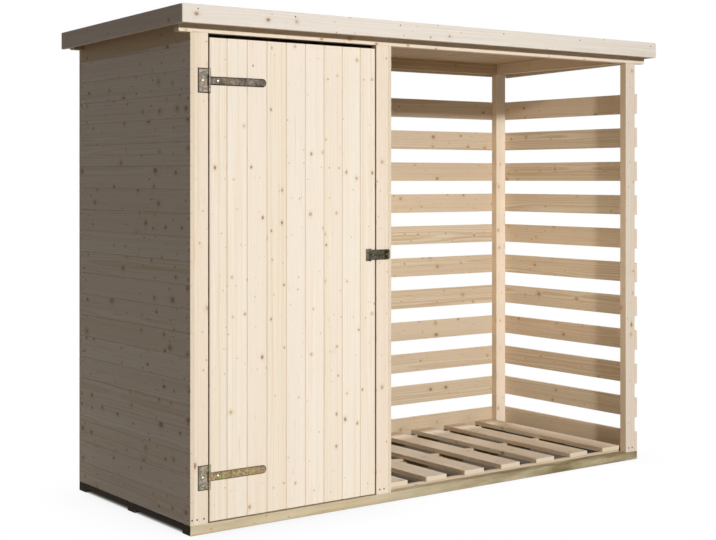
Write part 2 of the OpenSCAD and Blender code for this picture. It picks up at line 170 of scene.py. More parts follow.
def seen_directly(tree):
    """One where a ray comes from the camera, a mirror or glass, so that it should meet white."""
    path = tree.nodes.new("ShaderNodeLightPath").outputs
    mirrored = calc(tree, "MAXIMUM", path["Is Glossy Ray"], path["Is Transmission Ray"])
    return calc(tree, "MAXIMUM", path["Is Camera Ray"], mirrored)


soft_lamp("key_lamp", KEY_PLACE, KEY_AIM, KEY_WATTS, KEY_SIZE, KEY_SPREAD)
soft_lamp("back_lamp", BACK_PLACE, BACK_AIM, BACK_WATTS, BACK_SIZE)
bay_lamp = soft_lamp("bay_lamp", BAY_PLACE, BAY_AIM, BAY_WATTS, BAY_SIZE, BAY_SPREAD, BAY_TINT)
bay_lamp.visible_camera = False
bay_lamp.visible_glossy = False

world = bpy.data.worlds.new("white_world")
scene.world = world
world.use_nodes = True
sky = world.node_tree
background = sky.nodes["Background"]
in_view = seen_directly(sky)
put(sky, mix(sky, in_view, FILL_TINT, WHITE), background.inputs["Color"])
put(sky, calc(sky, "MULTIPLY_ADD", in_view, 1 - FILL_STRENGTH, FILL_STRENGTH), background.inputs["Strength"])

# %% [markdown]
# ## The floor
# The floor is a plain pale disc. The camera sees it as white, so that it runs into the white world without
# an edge, but it darkens with a painted shadow where an Ambient Occlusion node finds the store close above:
# faintly beside the bearers and deeply under the floor boards. Inside the store's outline it also turns to a
# warm painted shade. All other rays meet a plain matt surface, which throws a little warm light back on the
# store.

# %% Lay the floor
FLOOR_RADIUS = 40
FLOOR_DROP = 0.0005
FLOOR_SIDES = 64
FLOOR_TINT = (0.42, 0.39, 0.35, 1)
CONTACT_REACH = 0.35
UNDER_STORE = 0.3
BESIDE_STORE = 0.95
COVERED = (0.05, 0.6)
CLEARING = (0.5, 1.0)
SHADE_EDGE = 0.03
SHADE_TINT = (0.12, 0.097, 0.074, 1)
BASE_HALF = (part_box("rear_bearer")[1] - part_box("front_bearer")[0]) / 2


def ramp(tree, value, low, high, start=0.0, end=1.0):
    """A smooth step from start to end while the value goes from low to high."""
    step = tree.nodes.new("ShaderNodeMapRange")
    step.interpolation_type = "SMOOTHSTEP"
    for number, socket in zip((value, low, high, start, end), step.inputs):
        put(tree, number, socket)
    return step.outputs[0]


def split(tree, vector):
    """The three parts of a vector."""
    parts = tree.nodes.new("ShaderNodeSeparateXYZ")
    put(tree, vector, parts.inputs[0])
    return parts.outputs[0], parts.outputs[1], parts.outputs[2]


def floor_material():
    """White to the camera with a painted contact shadow and painted shade under the store, and matt to all
    other rays.
    """
    material = bpy.data.materials.new("pale_floor")
    material.use_nodes = True
    tree = material.node_tree
    tree.nodes.clear()
    matt = tree.nodes.new("ShaderNodeBsdfDiffuse")
    matt.inputs["Color"].default_value = FLOOR_TINT
    contact = tree.nodes.new("ShaderNodeAmbientOcclusion")
    contact.inputs["Distance"].default_value = CONTACT_REACH
    open_sky = contact.outputs["AO"]
    glow = tree.nodes.new("ShaderNodeEmission")
    near = ramp(tree, open_sky, *COVERED, UNDER_STORE, BESIDE_STORE)
    bright = calc(tree, "ADD", near, ramp(tree, open_sky, *CLEARING, 0, 1 - BESIDE_STORE))
    x, y = split(tree, tree.nodes.new("ShaderNodeTexCoord").outputs["Object"])[:2]
    past_end, past_front = [ramp(tree, calc(tree, "ABSOLUTE", side), half - SHADE_EDGE, half)
                            for side, half in ((x, BASE_HALF.x), (y, BASE_HALF.y))]
    beside = calc(tree, "MAXIMUM", past_end, past_front)
    # Inside the store's outline the white turns to a warm painted shade.
    put(tree, mix(tree, beside, SHADE_TINT, WHITE), glow.inputs["Color"])
    put(tree, bright, glow.inputs["Strength"])
    choice = tree.nodes.new("ShaderNodeMixShader")
    put(tree, seen_directly(tree), choice.inputs["Fac"])
    tree.links.new(matt.outputs[0], choice.inputs[1])
    tree.links.new(glow.outputs[0], choice.inputs[2])
    output = tree.nodes.new("ShaderNodeOutputMaterial")
    tree.links.new(choice.outputs[0], output.inputs["Surface"])
    return material


disc = bmesh.new()
bmesh.ops.create_circle(disc, cap_ends=True, segments=FLOOR_SIDES, radius=FLOOR_RADIUS)
bmesh.ops.translate(disc, verts=disc.verts, vec=(0, 0, -FLOOR_DROP))
floor_mesh = bpy.data.meshes.new("floor")
disc.to_mesh(floor_mesh)
disc.free()
floor = bpy.data.objects.new("floor", floor_mesh)
floor_mesh.materials.append(floor_material())
scene.collection.objects.link(floor)
floor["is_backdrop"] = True
print("floor radius", FLOOR_RADIUS, "m")

# %% [markdown]
# ## Grain, knots and growth rings
# All the timber is spruce, so its figure is one node group that every wood material shares. A board is cut
# lengthwise from a tree: the growth rings are circles round the heart, and on the face of the board they
# come out as lines that run along it, and as long pointed arches where the cut passes near the heart. A
# knot is a branch that the saw went through, and the rings part round it. The group reads two attributes
# that each board carries: its own coordinates, measured along, across and through the wood from the heart
# of the tree, and three random numbers, so that no two boards look alike.

# %% Helpers for node trees
def srgb(red, green, blue):
    """A colour as a screen shows it, from 0 to 255, turned into the linear values that shaders use."""
    parts = [part / 255 for part in (red, green, blue)]
    return tuple(p / 12.92 if p <= 0.04045 else ((p + 0.055) / 1.055) ** 2.4 for p in parts) + (1,)


def gather(tree, x, y, z=0.0):
    """A vector from three parts."""
    whole = tree.nodes.new("ShaderNodeCombineXYZ")
    for value, socket in zip((x, y, z), whole.inputs):
        put(tree, value, socket)
    return whole.outputs[0]


def times(tree, first, second):
    """The product of two values."""
    return calc(tree, "MULTIPLY", first, second)


def plus(tree, first, second):
    """The sum of two values."""
    return calc(tree, "ADD", first, second)


def times_plus(tree, value, factor, more):
    """A value multiplied by a factor, with something added."""
    return calc(tree, "MULTIPLY_ADD", value, factor, more)


def shaded(tree, colour, shade):
    """A colour made darker or lighter by a value."""
    return mix(tree, 1.0, colour, gather(tree, shade, shade, shade), "MULTIPLY")


def noise(tree, vector, detail=2.0, roughness=0.5):
    """Soft noise from 0 to 1 over coordinates that are already scaled."""
    texture = tree.nodes.new("ShaderNodeTexNoise")
    put(tree, vector, texture.inputs["Vector"])
    texture.inputs["Scale"].default_value = 1
    texture.inputs["Detail"].default_value = detail
    texture.inputs["Roughness"].default_value = roughness
    return texture.outputs[0]


def scaled(tree, vector, x, y, z):
    """A vector with each part multiplied by a number."""
    step = tree.nodes.new("ShaderNodeVectorMath")
    step.operation = "MULTIPLY"
    put(tree, vector, step.inputs[0])
    step.inputs[1].default_value = (x, y, z)
    return step.outputs[0]


print("node helpers ready")

# %% [markdown]
# ### Knots
# Knots are scattered by a Voronoi texture: the plane of the board is divided into cells longer than they
# are wide, and each cell has one random point. The texture also gives each cell a random colour, whose
# three parts say whether the knot is there, how big it is and how oval. Working from the distance to the
# point, counted in radii of the knot, gives a core, a dark bark rim and a wide halo in which the grain
# bends. The same group is built twice, for branch knots and for the many pin knots of small twigs.

# %% Build the knot groups
KNOT_SPREAD = 0.95
KNOT_OVAL = 0.4
BIG_KNOTS_RARE = 3.0
WOBBLES_PER_METRE = 190
WOBBLE = 0.7
CORE_EDGE = (0.3, 1.25)
RIM_PLACE = 0.95
RIM_WIDTH = 0.35
HALO_EDGE = (0.6, 3.6)


def new_group(name, inputs, outputs):
    """An empty node group with named sockets."""
    group = bpy.data.node_groups.new(name, "ShaderNodeTree")
    for in_out, sockets in (("INPUT", inputs), ("OUTPUT", outputs)):
        for label, kind in sockets:
            group.interface.new_socket(name=label, in_out=in_out, socket_type="NodeSocket" + kind)
    return group, group.nodes.new("NodeGroupInput").outputs, group.nodes.new("NodeGroupOutput").inputs


def distance_from_middle(tree, x, y):
    """The length of a vector with two parts."""
    return calc(tree, "SQRT", plus(tree, times(tree, x, x), times(tree, y, y)))


def build_knot_group(name, spacing_along, spacing_across, smallest, growth):
    """Masks of the knots on a board: core, rim, halo, the radius, and a random number for each knot."""
    group, given, result = new_group(
        name,
        [("Place", "Vector"), ("Share", "Float"), ("Size", "Float")],
        [("Core", "Float"), ("Rim", "Float"), ("Halo", "Float"), ("Radius", "Float"), ("Chance", "Float")],
    )
    place = given["Place"]
    cells = group.nodes.new("ShaderNodeTexVoronoi")
    cells.voronoi_dimensions = "2D"
    cells.inputs["Scale"].default_value = 1
    cells.inputs["Randomness"].default_value = KNOT_SPREAD
    grid = scaled(group, place, 1 / spacing_along, 1 / spacing_across, 0)
    put(group, grid, cells.inputs["Vector"])
    offset = group.nodes.new("ShaderNodeVectorMath")
    offset.operation = "SUBTRACT"
    put(group, grid, offset.inputs[0])
    put(group, cells.outputs["Position"], offset.inputs[1])
    along, across = split(group, scaled(group, offset.outputs[0], spacing_along, spacing_across, 0))[:2]
    presence, size, shape = split(group, cells.outputs["Color"])
    there = calc(group, "LESS_THAN", presence, given["Share"])
    growth_part = times(group, calc(group, "POWER", size, BIG_KNOTS_RARE), growth)
    radius = times(group, plus(group, growth_part, smallest), given["Size"])
    along_oval = calc(group, "DIVIDE", along, times_plus(group, shape, KNOT_OVAL, 1.0))
    reach = distance_from_middle(group, along_oval, across)
    ripple = noise(group, scaled(group, place, WOBBLES_PER_METRE, WOBBLES_PER_METRE, 0))
    wobble = times_plus(group, ripple, WOBBLE, -WOBBLE / 2)
    radii = plus(group, calc(group, "DIVIDE", reach, radius), wobble)
    from_rim = calc(group, "ABSOLUTE", calc(group, "SUBTRACT", radii, RIM_PLACE))
    for label, value, edges in (("Core", radii, CORE_EDGE), ("Rim", from_rim, (0.0, RIM_WIDTH)),
                                ("Halo", radii, HALO_EDGE)):
        put(group, times(group, there, ramp(group, value, *edges, 1, 0)), result[label])
    put(group, radius, result["Radius"])
    put(group, shape, result["Chance"])
    return group


KNOTS = build_knot_group("branch_knots", 0.125, 0.058, 0.0019, 0.006)
PINS = build_knot_group("pin_knots", 0.075, 0.043, 0.0011, 0.0012)
print("knot groups have", len(KNOTS.nodes) + len(PINS.nodes), "nodes")

# %% [markdown]
# ### The whole figure of the wood
# The distance from the heart, counted in ring widths, gives the rings: each fades slowly from pale early
# wood to darker late wood and then starts again at once. Slow noise along the board makes the distance
# drift, which draws the arches, and each knot's halo pushes it out. The branches of a spruce grow in whorls,
# so another slow noise makes knots gather at some heights. Long soft streaks, a blush from board to board
# and fine fibres lie on top of that. Each noise is named with its waves per metre along, across and through
# the wood, its detail and its roughness. A smooth step is named with where it starts and ends, and with its
# values there where these aren't nought and one. Other pairs are a factor and what is added.

# %% Build the spruce group
BOARD_JUMP = (60, 30)
WHORL_SHIFT = 0.12
WHORLS_PER_METRE = 2.6
WHORL_STEP = (0.38, 0.62, 0.35, 1.7)
RING_WIDTH = 0.0046
LATE_STEP = (0.15, 0.85)
RING_END = (0.9, 1.0, 1, 0)
STREAK_STEP = (0.45, 0.75, 0, 0.4)
LINE_STEP = (0.52, 0.72, 0, 0.3)
BLUSH_STEP = (0.38, 0.72, 0, 0.6)
BLEED_STEP = (0.7, 0.82, 0, 0.45)
FLECK_STEP = (0.66, 0.76)
BOARD_WARMTH = 0.3
BOARD_BLUSH = (0.3, -0.15)
FIBRE_SHADE = (0.12, 0.94)
END_SHADE = (-0.2, 1.0)
CORE_SHARE = (0.4, 0.45)
RIM_SHARE = (0.6, 0.1)
PLANED_ROUGHNESS = (0.14, 0.55)
KNOT_ROUGHNESS = -0.12
LATE_HEIGHT = 0.5
FIBRE_HEIGHT = 0.5
KNOT_HEIGHT = 0.6
HEART_DRIFT = 0.02
KNOT_PUSH = 1.6
RESIN = srgb(226, 172, 112)
HALO = srgb(218, 186, 146)
BARK = srgb(80, 64, 48)
# Painted shade, laid over V joints and over faces that are marked as lying in shade.
PAINTED_SHADE = srgb(190, 160, 120)
PAINTED_SHADE_SHARE = 0.55
PIN_SHARE = 0.3
PIN_DEPTH = 0.85
HALO_SHARE = 0.22
HALO_WARMTH = 0.4
BARK_SHARE = 0.6
GRAIN_NOISES = {
    "drift": (1.1, 5, 0, 2, 0.45),
    "streak": (0.5, 48, 60, 4, 0.62),
    "line": (0.9, 170, 170, 3, 0.6),
    "broad": (0.35, 11, 20, 2, 0.5),
    "fibre": (18, 900, 900, 2, 0.6),
    "bleed": (2.6, 70, 70, 2, 0.5),
    "fleck": (16, 190, 190, 2, 0.5),
}


def add_knots(group, kind, place, share, size):
    """A knot group in the spruce group."""
    knots = group.nodes.new("ShaderNodeGroup")
    knots.node_tree = kind
    for label, value in (("Place", place), ("Share", share), ("Size", size)):
        put(group, value, knots.inputs[label])
    return knots.outputs


def build_spruce_group():
    """Colour, roughness and height of planed spruce."""
    group, given, result = new_group(
        "spruce",
        [("Grain", "Vector"), ("Board", "Vector"), ("Painted Shade", "Float"), ("End", "Float"), ("Face", "Float"),
         ("Pale", "Color"), ("Warm", "Color"), ("Blush", "Color"), ("Knot", "Color"), ("End Grain", "Color"),
         ("Knot Share", "Float"), ("Ring Contrast", "Float"), ("Knot Size", "Float")],
        [("Colour", "Color"), ("Roughness", "Float"), ("Height", "Float")],
    )
    along, across, through = split(group, given["Grain"])
    red, green, blue = split(group, given["Board"])
    shifted_along = times_plus(group, red, BOARD_JUMP[0], along)
    on_side = times(group, through, calc(group, "LESS_THAN", given["Face"], 0.5))
    shifted_across = plus(group, times_plus(group, green, BOARD_JUMP[1], across), on_side)
    place = gather(group, shifted_along, shifted_across, through)
    soft = {name: noise(group, scaled(group, place, *waves), detail, roughness)
            for name, (*waves, detail, roughness) in GRAIN_NOISES.items()}

    whorl_at = times(group, times_plus(group, red, WHORL_SHIFT, along), WHORLS_PER_METRE)
    whorl = ramp(group, noise(group, gather(group, whorl_at, 0.5, 0.5), 1), *WHORL_STEP)
    share = times(group, given["Knot Share"], whorl)
    knot = add_knots(group, KNOTS, place, share, given["Knot Size"])
    pin = add_knots(group, PINS, place, times(group, share, PIN_SHARE), 1.0)

    heart = distance_from_middle(group, across, through)
    push = times(group, times(group, knot["Halo"], knot["Radius"]), KNOT_PUSH)
    distance = plus(group, times_plus(group, soft["drift"], HEART_DRIFT, heart), push)
    ring = calc(group, "FRACT", calc(group, "DIVIDE", distance, RING_WIDTH))
    late = times(group, ramp(group, ring, *LATE_STEP), ramp(group, ring, *RING_END))

    warmth = times_plus(group, late, given["Ring Contrast"], times(group, blue, BOARD_WARMTH))
    for more in (ramp(group, soft["streak"], *STREAK_STEP), ramp(group, soft["line"], *LINE_STEP),
                 times(group, knot["Halo"], HALO_WARMTH)):
        warmth = plus(group, warmth, more)
    colour = mix(group, calc(group, "MINIMUM", warmth, 1.0), given["Pale"], given["Warm"])
    blush_at = plus(group, soft["broad"], times_plus(group, green, *BOARD_BLUSH))
    fleck_share = times(group, ramp(group, soft["fleck"], *FLECK_STEP), given["Ring Contrast"])
    for layer_share, layer in ((ramp(group, blush_at, *BLUSH_STEP), given["Blush"]),
                               (ramp(group, soft["bleed"], *BLEED_STEP), RESIN),
                               (times(group, knot["Halo"], HALO_SHARE), HALO),
                               (fleck_share, given["Knot"])):
        colour = mix(group, layer_share, colour, layer)
    colour = shaded(group, colour, times_plus(group, soft["fibre"], *FIBRE_SHADE))

    rim_colour = mix(group, BARK_SHARE, given["Knot"], BARK)
    core_colour = mix(group, knot["Chance"], given["Knot"], rim_colour)
    core_share = times(group, knot["Core"], times_plus(group, knot["Chance"], *CORE_SHARE))
    rim_share = times(group, knot["Rim"], times_plus(group, knot["Chance"], *RIM_SHARE))
    end_colour = shaded(group, given["End Grain"], times_plus(group, late, *END_SHADE))
    # The last layer is painted shade, on V joints and on faces marked as shaded.
    for layer_share, layer in ((core_share, core_colour), (rim_share, rim_colour),
                               (times(group, pin["Core"], PIN_DEPTH), rim_colour),
                               (given["End"], end_colour),
                               (times(group, given["Painted Shade"], PAINTED_SHADE_SHARE), PAINTED_SHADE)):
        colour = mix(group, layer_share, colour, layer)
    put(group, colour, result["Colour"])

    rough = times_plus(group, soft["streak"], *PLANED_ROUGHNESS)
    put(group, times_plus(group, knot["Core"], KNOT_ROUGHNESS, rough), result["Roughness"])
    height = plus(group, times(group, late, LATE_HEIGHT), times(group, soft["fibre"], FIBRE_HEIGHT))
    put(group, times_plus(group, knot["Core"], KNOT_HEIGHT, height), result["Height"])
    return group


SPRUCE = build_spruce_group()
print("spruce group has", len(SPRUCE.nodes), "nodes")

# %% [markdown]
# ## Wood finishes
# The same spruce left the sawmill as several stocks. The planed framing and matchboards are nearly white
# with a touch of cream and pink, the fascia boards are paler and greyer, the slats and roof boards are a
# yellower grade, and the bearers are pressure treated, which leaves a green cast that pools in patches.
# Each stock is a material with its own colours for early wood, late wood and blush, which stay plain values
# where they are the same all over. Colours are written as a screen shows them.

# %% Make the wood materials
KNOT_BROWN = (170, 130, 92)
END_CUT = (236, 220, 196)
LOOKING_STEP = (0.6, 0.85)
DARKER_ALONG = (0.7, 2.1, 0.25, 1.0)
STAIN_WAVES = (3, 14, 14)
STAIN_DETAIL = (4, 0.6)
STAIN_PATCHES = (0.25, 0.65, 0.3, 1.0)
WOOD_BUMP = (0.35, 0.0004)


def attribute(tree, name):
    """The outputs of a node that reads an attribute of the mesh."""
    reader = tree.nodes.new("ShaderNodeAttribute")
    reader.attribute_name = name
    return reader.outputs


def looks_along(tree, name):
    """One where the surface looks along a direction that the board stores, zero where it looks across it."""
    facing = tree.nodes.new("ShaderNodeVectorMath")
    facing.operation = "DOT_PRODUCT"
    put(tree, tree.nodes.new("ShaderNodeTexCoord").outputs["Normal"], facing.inputs[0])
    put(tree, attribute(tree, name)["Vector"], facing.inputs[1])
    return ramp(tree, calc(tree, "ABSOLUTE", facing.outputs["Value"]), *LOOKING_STEP)


def new_material(name):
    """A fresh material, its node tree and its shader."""
    material = bpy.data.materials.new(name)
    material.use_nodes = True
    return material, material.node_tree, material.node_tree.nodes["Principled BSDF"]


def dress(tree, shader, colour, roughness, height, strength, depth):
    """Link a colour and a roughness to the shader, and let a height bump the surface."""
    bump = tree.nodes.new("ShaderNodeBump")
    for value, socket in ((strength, bump.inputs["Strength"]), (depth, bump.inputs["Distance"]),
                          (height, bump.inputs["Height"]), (bump.outputs["Normal"], shader.inputs["Normal"]),
                          (colour, shader.inputs["Base Color"]), (roughness, shader.inputs["Roughness"])):
        put(tree, value, socket)


def wood(name, pale, warm, blush, knot_share=0.62, ring_contrast=0.32, end=END_CUT, stain=None,
         shine=0.22, knot_size=1.0, knot=KNOT_BROWN):
    """A planed softwood finish. A stain, where there is one, pools in patches, which grow darker towards one
    end of the board.
    """
    material, tree, shader = new_material(name)
    shader.inputs["Specular IOR Level"].default_value = shine
    figure = tree.nodes.new("ShaderNodeGroup")
    figure.node_tree = SPRUCE
    grain = attribute(tree, "grain")["Vector"]
    board = attribute(tree, "board")
    for label, value in (("Grain", grain), ("Board", board["Vector"]), ("Painted Shade", board["Alpha"]),
                         ("End", looks_along(tree, "lie")), ("Face", looks_along(tree, "face")),
                         ("Pale", srgb(*pale)), ("Warm", srgb(*warm)), ("Blush", srgb(*blush)),
                         ("Knot", srgb(*knot)), ("End Grain", srgb(*end)), ("Knot Share", knot_share),
                         ("Ring Contrast", ring_contrast), ("Knot Size", knot_size)):
        put(tree, value, figure.inputs[label])
    colour = figure.outputs["Colour"]
    if stain:
        patches = noise(tree, scaled(tree, grain, *STAIN_WAVES), *STAIN_DETAIL)
        # Darker towards one end of the board.
        depth = ramp(tree, split(tree, grain)[0], *DARKER_ALONG)
        share = times(tree, ramp(tree, patches, *STAIN_PATCHES), depth)
        colour = mix(tree, share, colour, srgb(*stain), "MULTIPLY")
    dress(tree, shader, colour, figure.outputs["Roughness"], figure.outputs["Height"], *WOOD_BUMP)
    return material


FRAMING = wood("planed_framing", (241, 229, 212), (229, 206, 176), (238, 220, 203))
GREY_FRAMING = wood("grey_framing", (230, 219, 204), (216, 196, 170), (224, 209, 193))
CLADDING = wood("matchboard", (244, 236, 223), (231, 210, 180), (242, 228, 214), 0.52, 0.22,
                knot_size=0.75, knot=(164, 138, 106))
WALLING = wood("wall_matchboard", (243, 233, 220), (220, 196, 168), (238, 222, 208), 0.55, 0.5,
               knot_size=1.45, knot=(128, 96, 70))
FASCIA = wood("fascia_board", (234, 227, 216), (212, 198, 180), (231, 221, 210), 0.5, 0.22, knot_size=0.85)
# A darker copy of the fascia stock for the side fascias: painted shade for the ends of the roof.
SHADED_FASCIA = wood("side_fascia", (224, 209, 193), (198, 178, 156), (217, 201, 185), 0.4, 0.5)
SLAT = wood("yellow_slat", (217, 203, 180), (187, 160, 127), (212, 191, 165), 0.55, 0.5)
# A yellow-brown stock for the raking board under the eaves; its depth is painted shade from the eaves.
SHADED_RAKE = wood("raking_board_painted_shade", (218, 196, 164), (190, 156, 116), (212, 186, 152), 0.55, 0.5)
DECK = wood("roof_board", (198, 175, 144), (170, 140, 105), (192, 165, 134), 0.45, 0.5)
# The bearers' end grain is this dark as painted shade for the shaded ends of the base.
TREATED = wood("treated_bearer", (228, 217, 190), (204, 184, 148), (220, 211, 180), 0.25, 0.4,
               end=(66, 55, 42), stain=(146, 139, 109), shine=0.06)
# Nearly black joist stock: painted shade for the end joists, low in the shade of the base.
SHADED_JOIST = wood("joist_painted_shade", (62, 53, 44), (48, 40, 32), (58, 50, 41), 0.3, 0.4, end=(46, 38, 30), shine=0.06)
print("the palest stock is", CLADDING.name, "and the darkest is", SHADED_JOIST.name)

# %% [markdown]
# ## Sawing a board
# Every timber starts as its flat outline, which is extruded to its thickness. A cutting plane trims it
# where it runs into the slope of the roof. Then the edges are planed: a bevel of a millimetre or so on
# every sharp edge, and a wider chamfer along the two long face edges of a matchboard, so that two boards
# side by side make a V joint. Last, each vertex stores its place in the wood, the way the grain lies and the
# face looks, so that knots can be drawn on narrow sides too, and in the fourth number of the board's colour
# whether it takes painted shade: in a V joint, above a shade line, or on a side marked as shaded. The outline
# lies in the board's own plane, x along the grain and y across it, with the face towards +z.

# %% Helpers that saw and join boards
ARRIS = 0.0012
ROUNDED_ARRIS = 0.002
SHADE_BLEND = 0.001
TOUCHING = 1e-5
ON_PLANE = 1e-6
SHARP = math.radians(50)
HEART_SIDEWAYS = 0.9
HEART_DEPTH = (0.012, 0.11)
draw = random.Random(11)
AXES = {
    "x": Vector((1, 0, 0)), "y": Vector((0, 1, 0)), "z": Vector((0, 0, 1)),
    "-x": Vector((-1, 0, 0)), "-y": Vector((0, -1, 0)), "-z": Vector((0, 0, -1)),
}


def trim(board, point, normal):
    """Cut away what lies beyond a plane and close the cut."""
    everything = [*board.verts, *board.edges, *board.faces]
    bmesh.ops.bisect_plane(board, geom=everything, plane_co=point, plane_no=normal, clear_outer=True,
                           dist=ON_PLANE)
    open_edges = [edge for edge in board.edges if edge.is_boundary]
    if open_edges:
        bmesh.ops.holes_fill(board, edges=open_edges)


def plane_edges(board, thickness, vee, arris):
    """Chamfer the long face edges for a V joint, then ease every other sharp edge."""
    if vee:
        sides = [min(v.co.y for v in board.verts), max(v.co.y for v in board.verts)]
        joints = [
            edge for edge in board.edges
            if all(v.co.z > thickness - TOUCHING for v in edge.verts)
            and any(all(abs(v.co.y - side) < TOUCHING for v in edge.verts) for side in sides)
        ]
        bmesh.ops.bevel(board, geom=joints, offset=vee, segments=1, profile=0.5, affect="EDGES", material=-1)
    sharp = [edge for edge in board.edges if edge.calc_face_angle(0) > SHARP]
    bmesh.ops.bevel(board, geom=sharp, offset=arris, segments=2, profile=0.5, affect="EDGES", material=-1,
                    clamp_overlap=True)


def store_grain(board, outline, thickness, place, vee, tone, rough_from, rough_sides):
    """Give each vertex its place in the tree, and the whole board the lie of the grain and its tint."""
    sides = [min(y for x, y in outline), max(y for x, y in outline)]
    width = sides[1] - sides[0]
    heart_across = width / 2 + draw.uniform(-HEART_SIDEWAYS, HEART_SIDEWAYS) * width
    heart_depth = draw.choice((-1, 1)) * draw.uniform(*HEART_DEPTH)
    numbers = (draw.random(), draw.random(), draw.random())
    if tone:
        numbers = (numbers[0], *tone)
    lie_of_grain = place.to_3x3() @ AXES["x"]
    way_of_face = place.to_3x3() @ AXES["z"]
    grain = board.verts.layers.float_vector.new("grain")
    lie = board.verts.layers.float_vector.new("lie")
    face = board.verts.layers.float_vector.new("face")
    tint = board.verts.layers.float_color.new("board")
    for vert in board.verts:
        from_side = min(abs(vert.co.y - side) for side in sides)
        # Painted shade goes on vertices in a V joint, and on those that rough marks: above the shade line or
        # on a shaded side.
        in_joint = from_side < vee / 2 and vert.co.z > thickness - 2 * vee
        rough = vert.co.y > rough_from or (rough_sides and from_side < TOUCHING)
        vert[grain] = (vert.co.x, vert.co.y - heart_across, vert.co.z + heart_depth)
        vert[lie] = lie_of_grain
        vert[face] = way_of_face
        vert[tint] = (*numbers, 1.0 if in_joint or rough else 0.0)


def sawn_board(outline, thickness, place, vee=0.0, cuts=(), arris=ARRIS, tone=None, rough_from=math.inf,
               rough_sides=False):
    """One board from its outline, put in its place. It may take painted shade beyond a line or on its sides.
    """
    board = bmesh.new()
    face = board.faces.new([board.verts.new((x, y, 0)) for x, y in outline])
    swept = bmesh.ops.extrude_face_region(board, geom=[face])
    lifted = [item for item in swept["geom"] if isinstance(item, bmesh.types.BMVert)]
    bmesh.ops.translate(board, verts=lifted, vec=(0, 0, thickness))
    into_board = place.inverted()
    for point, normal in cuts:
        trim(board, into_board @ point, into_board.to_3x3() @ normal)
    bmesh.ops.recalc_face_normals(board, faces=board.faces)
    if board.verts:
        plane_edges(board, thickness, vee, arris)
    if rough_from < math.inf:
        for line in (rough_from, rough_from + SHADE_BLEND):
            bmesh.ops.bisect_plane(board, geom=[*board.verts, *board.edges, *board.faces],
                                   plane_co=(0, line, 0), plane_no=(0, 1, 0), dist=ON_PLANE)
    store_grain(board, outline, thickness, place, vee, tone, rough_from + SHADE_BLEND / 2, rough_sides)
    bmesh.ops.transform(board, matrix=place, verts=board.verts)
    return board


def board_place(low, high, along, face):
    """The matrix that takes a board's own plane to the box between two corners, and the board's size."""
    along_way, face_way = AXES[along], AXES[face]
    ways = (along_way, face_way.cross(along_way), face_way)
    size = [abs((high - low).dot(way)) for way in ways]
    corner = (low + high) / 2
    for way, part in zip(ways, size):
        corner -= way * part / 2
    turn = Matrix(ways).transposed().to_4x4()
    return Matrix.Translation(corner) @ turn, size


def straight_board(low, high, along, face, **finish):
    """A rectangular board that fills the box between two corners."""
    place, (length, width, thickness) = board_place(low, high, along, face)
    outline = [(0, 0), (length, 0), (length, width), (0, width)]
    return sawn_board(outline, thickness, place, **finish)


def store_piece(name, boards, material, slot, body, *nodes):
    """Join boards into one piece that stands for CAD nodes and rides on their body."""
    joined = bmesh.new()
    holder = bpy.data.meshes.new("holder")
    for board in boards:
        board.to_mesh(holder)
        joined.from_mesh(holder)
        board.free()
    bpy.data.meshes.remove(holder)
    mesh = bpy.data.meshes.new(name)
    joined.to_mesh(mesh)
    joined.free()
    mesh.materials.append(material)
    piece = bpy.data.objects.new(name, mesh)
    scene.collection.objects.link(piece)
    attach(piece, body)
    if nodes:
        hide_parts(*nodes)
    print(name, "has", len(mesh.polygons), "faces")
    return piece


def solid_boxes(node):
    """The low and high corners of each separate solid in a CAD node."""
    copy = bmesh.new()
    copy.from_mesh(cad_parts[node].data)
    bmesh.ops.remove_doubles(copy, verts=copy.verts, dist=TOUCHING)
    waiting = set(copy.verts)
    boxes = []
    while waiting:
        solid = [waiting.pop()]
        for vert in solid:
            for edge in vert.link_edges:
                other = edge.other_vert(vert)
                if other in waiting:
                    waiting.remove(other)
                    solid.append(other)
        places = [vert.co for vert in solid]
        low = Vector([min(p[i] for p in places) for i in range(3)])
        high = Vector([max(p[i] for p in places) for i in range(3)])
        boxes.append((low, high))
    copy.free()
    return sorted(boxes, key=lambda box: tuple(round(x, 4) for x in box[0]))


def saw(node, along, face, stock, slot, body="frame", **finish):
    """A straight board in the box of each solid of a CAD node, as one piece in its place."""
    boards = [straight_board(*box, along, face, **finish) for box in solid_boxes(node)]
    store_piece(node + "_sawn", boards, stock, slot, body, node)


print("sawing helpers ready")

# %% [markdown]
# ## Base and floor
# Three treated bearers lie on the ground and short joists tie them at the ends. Battens on the bearers
# carry the floor boards: close together in the cupboard, spaced apart in the bay so that air comes through.
# The CAD nodes hold several solids each, so the boards are sawn into the boxes of those solids.

# %% Saw the base and the floor
for bearer in ("front_bearer", "middle_bearer", "rear_bearer"):
    saw(bearer, "x", "-y", TREATED, "treated_base", arris=ROUNDED_ARRIS)
# The end joists are nearly black and the bearers' ends dark: painted shade.
for joist in ("left_end_joist", "right_end_joist"):
    saw(joist, "y", "z", SHADED_JOIST, "treated_base")
for floor_node, along in (("floor_battens", "x"), ("cupboard_floor", "y"), ("bay_floor_slats", "y")):
    saw(floor_node, along, "z", SLAT, "spruce_floor")

# %% [markdown]
# ## Posts, headers and rails
# Six posts of planed stud stand on the bearers with their wide side to the front. Headers cross them at the
# front and the back, and rails run between the headers under the roof boards. The fronts are planed white;
# the narrow sides of the posts, and the part of the front header above its lit lower strip, where the fascia
# shades it, are darkened and yellowed with painted shade, and the rear header takes the darker roof-board
# stock as painted shade. The roof falls a little towards the back, so the tops of the headers and rails are
# trimmed by the plane under the roof boards. How much it falls is read from the side fascia, which follows
# the slope. The posts that show most have a chosen tint, and the others a random one.

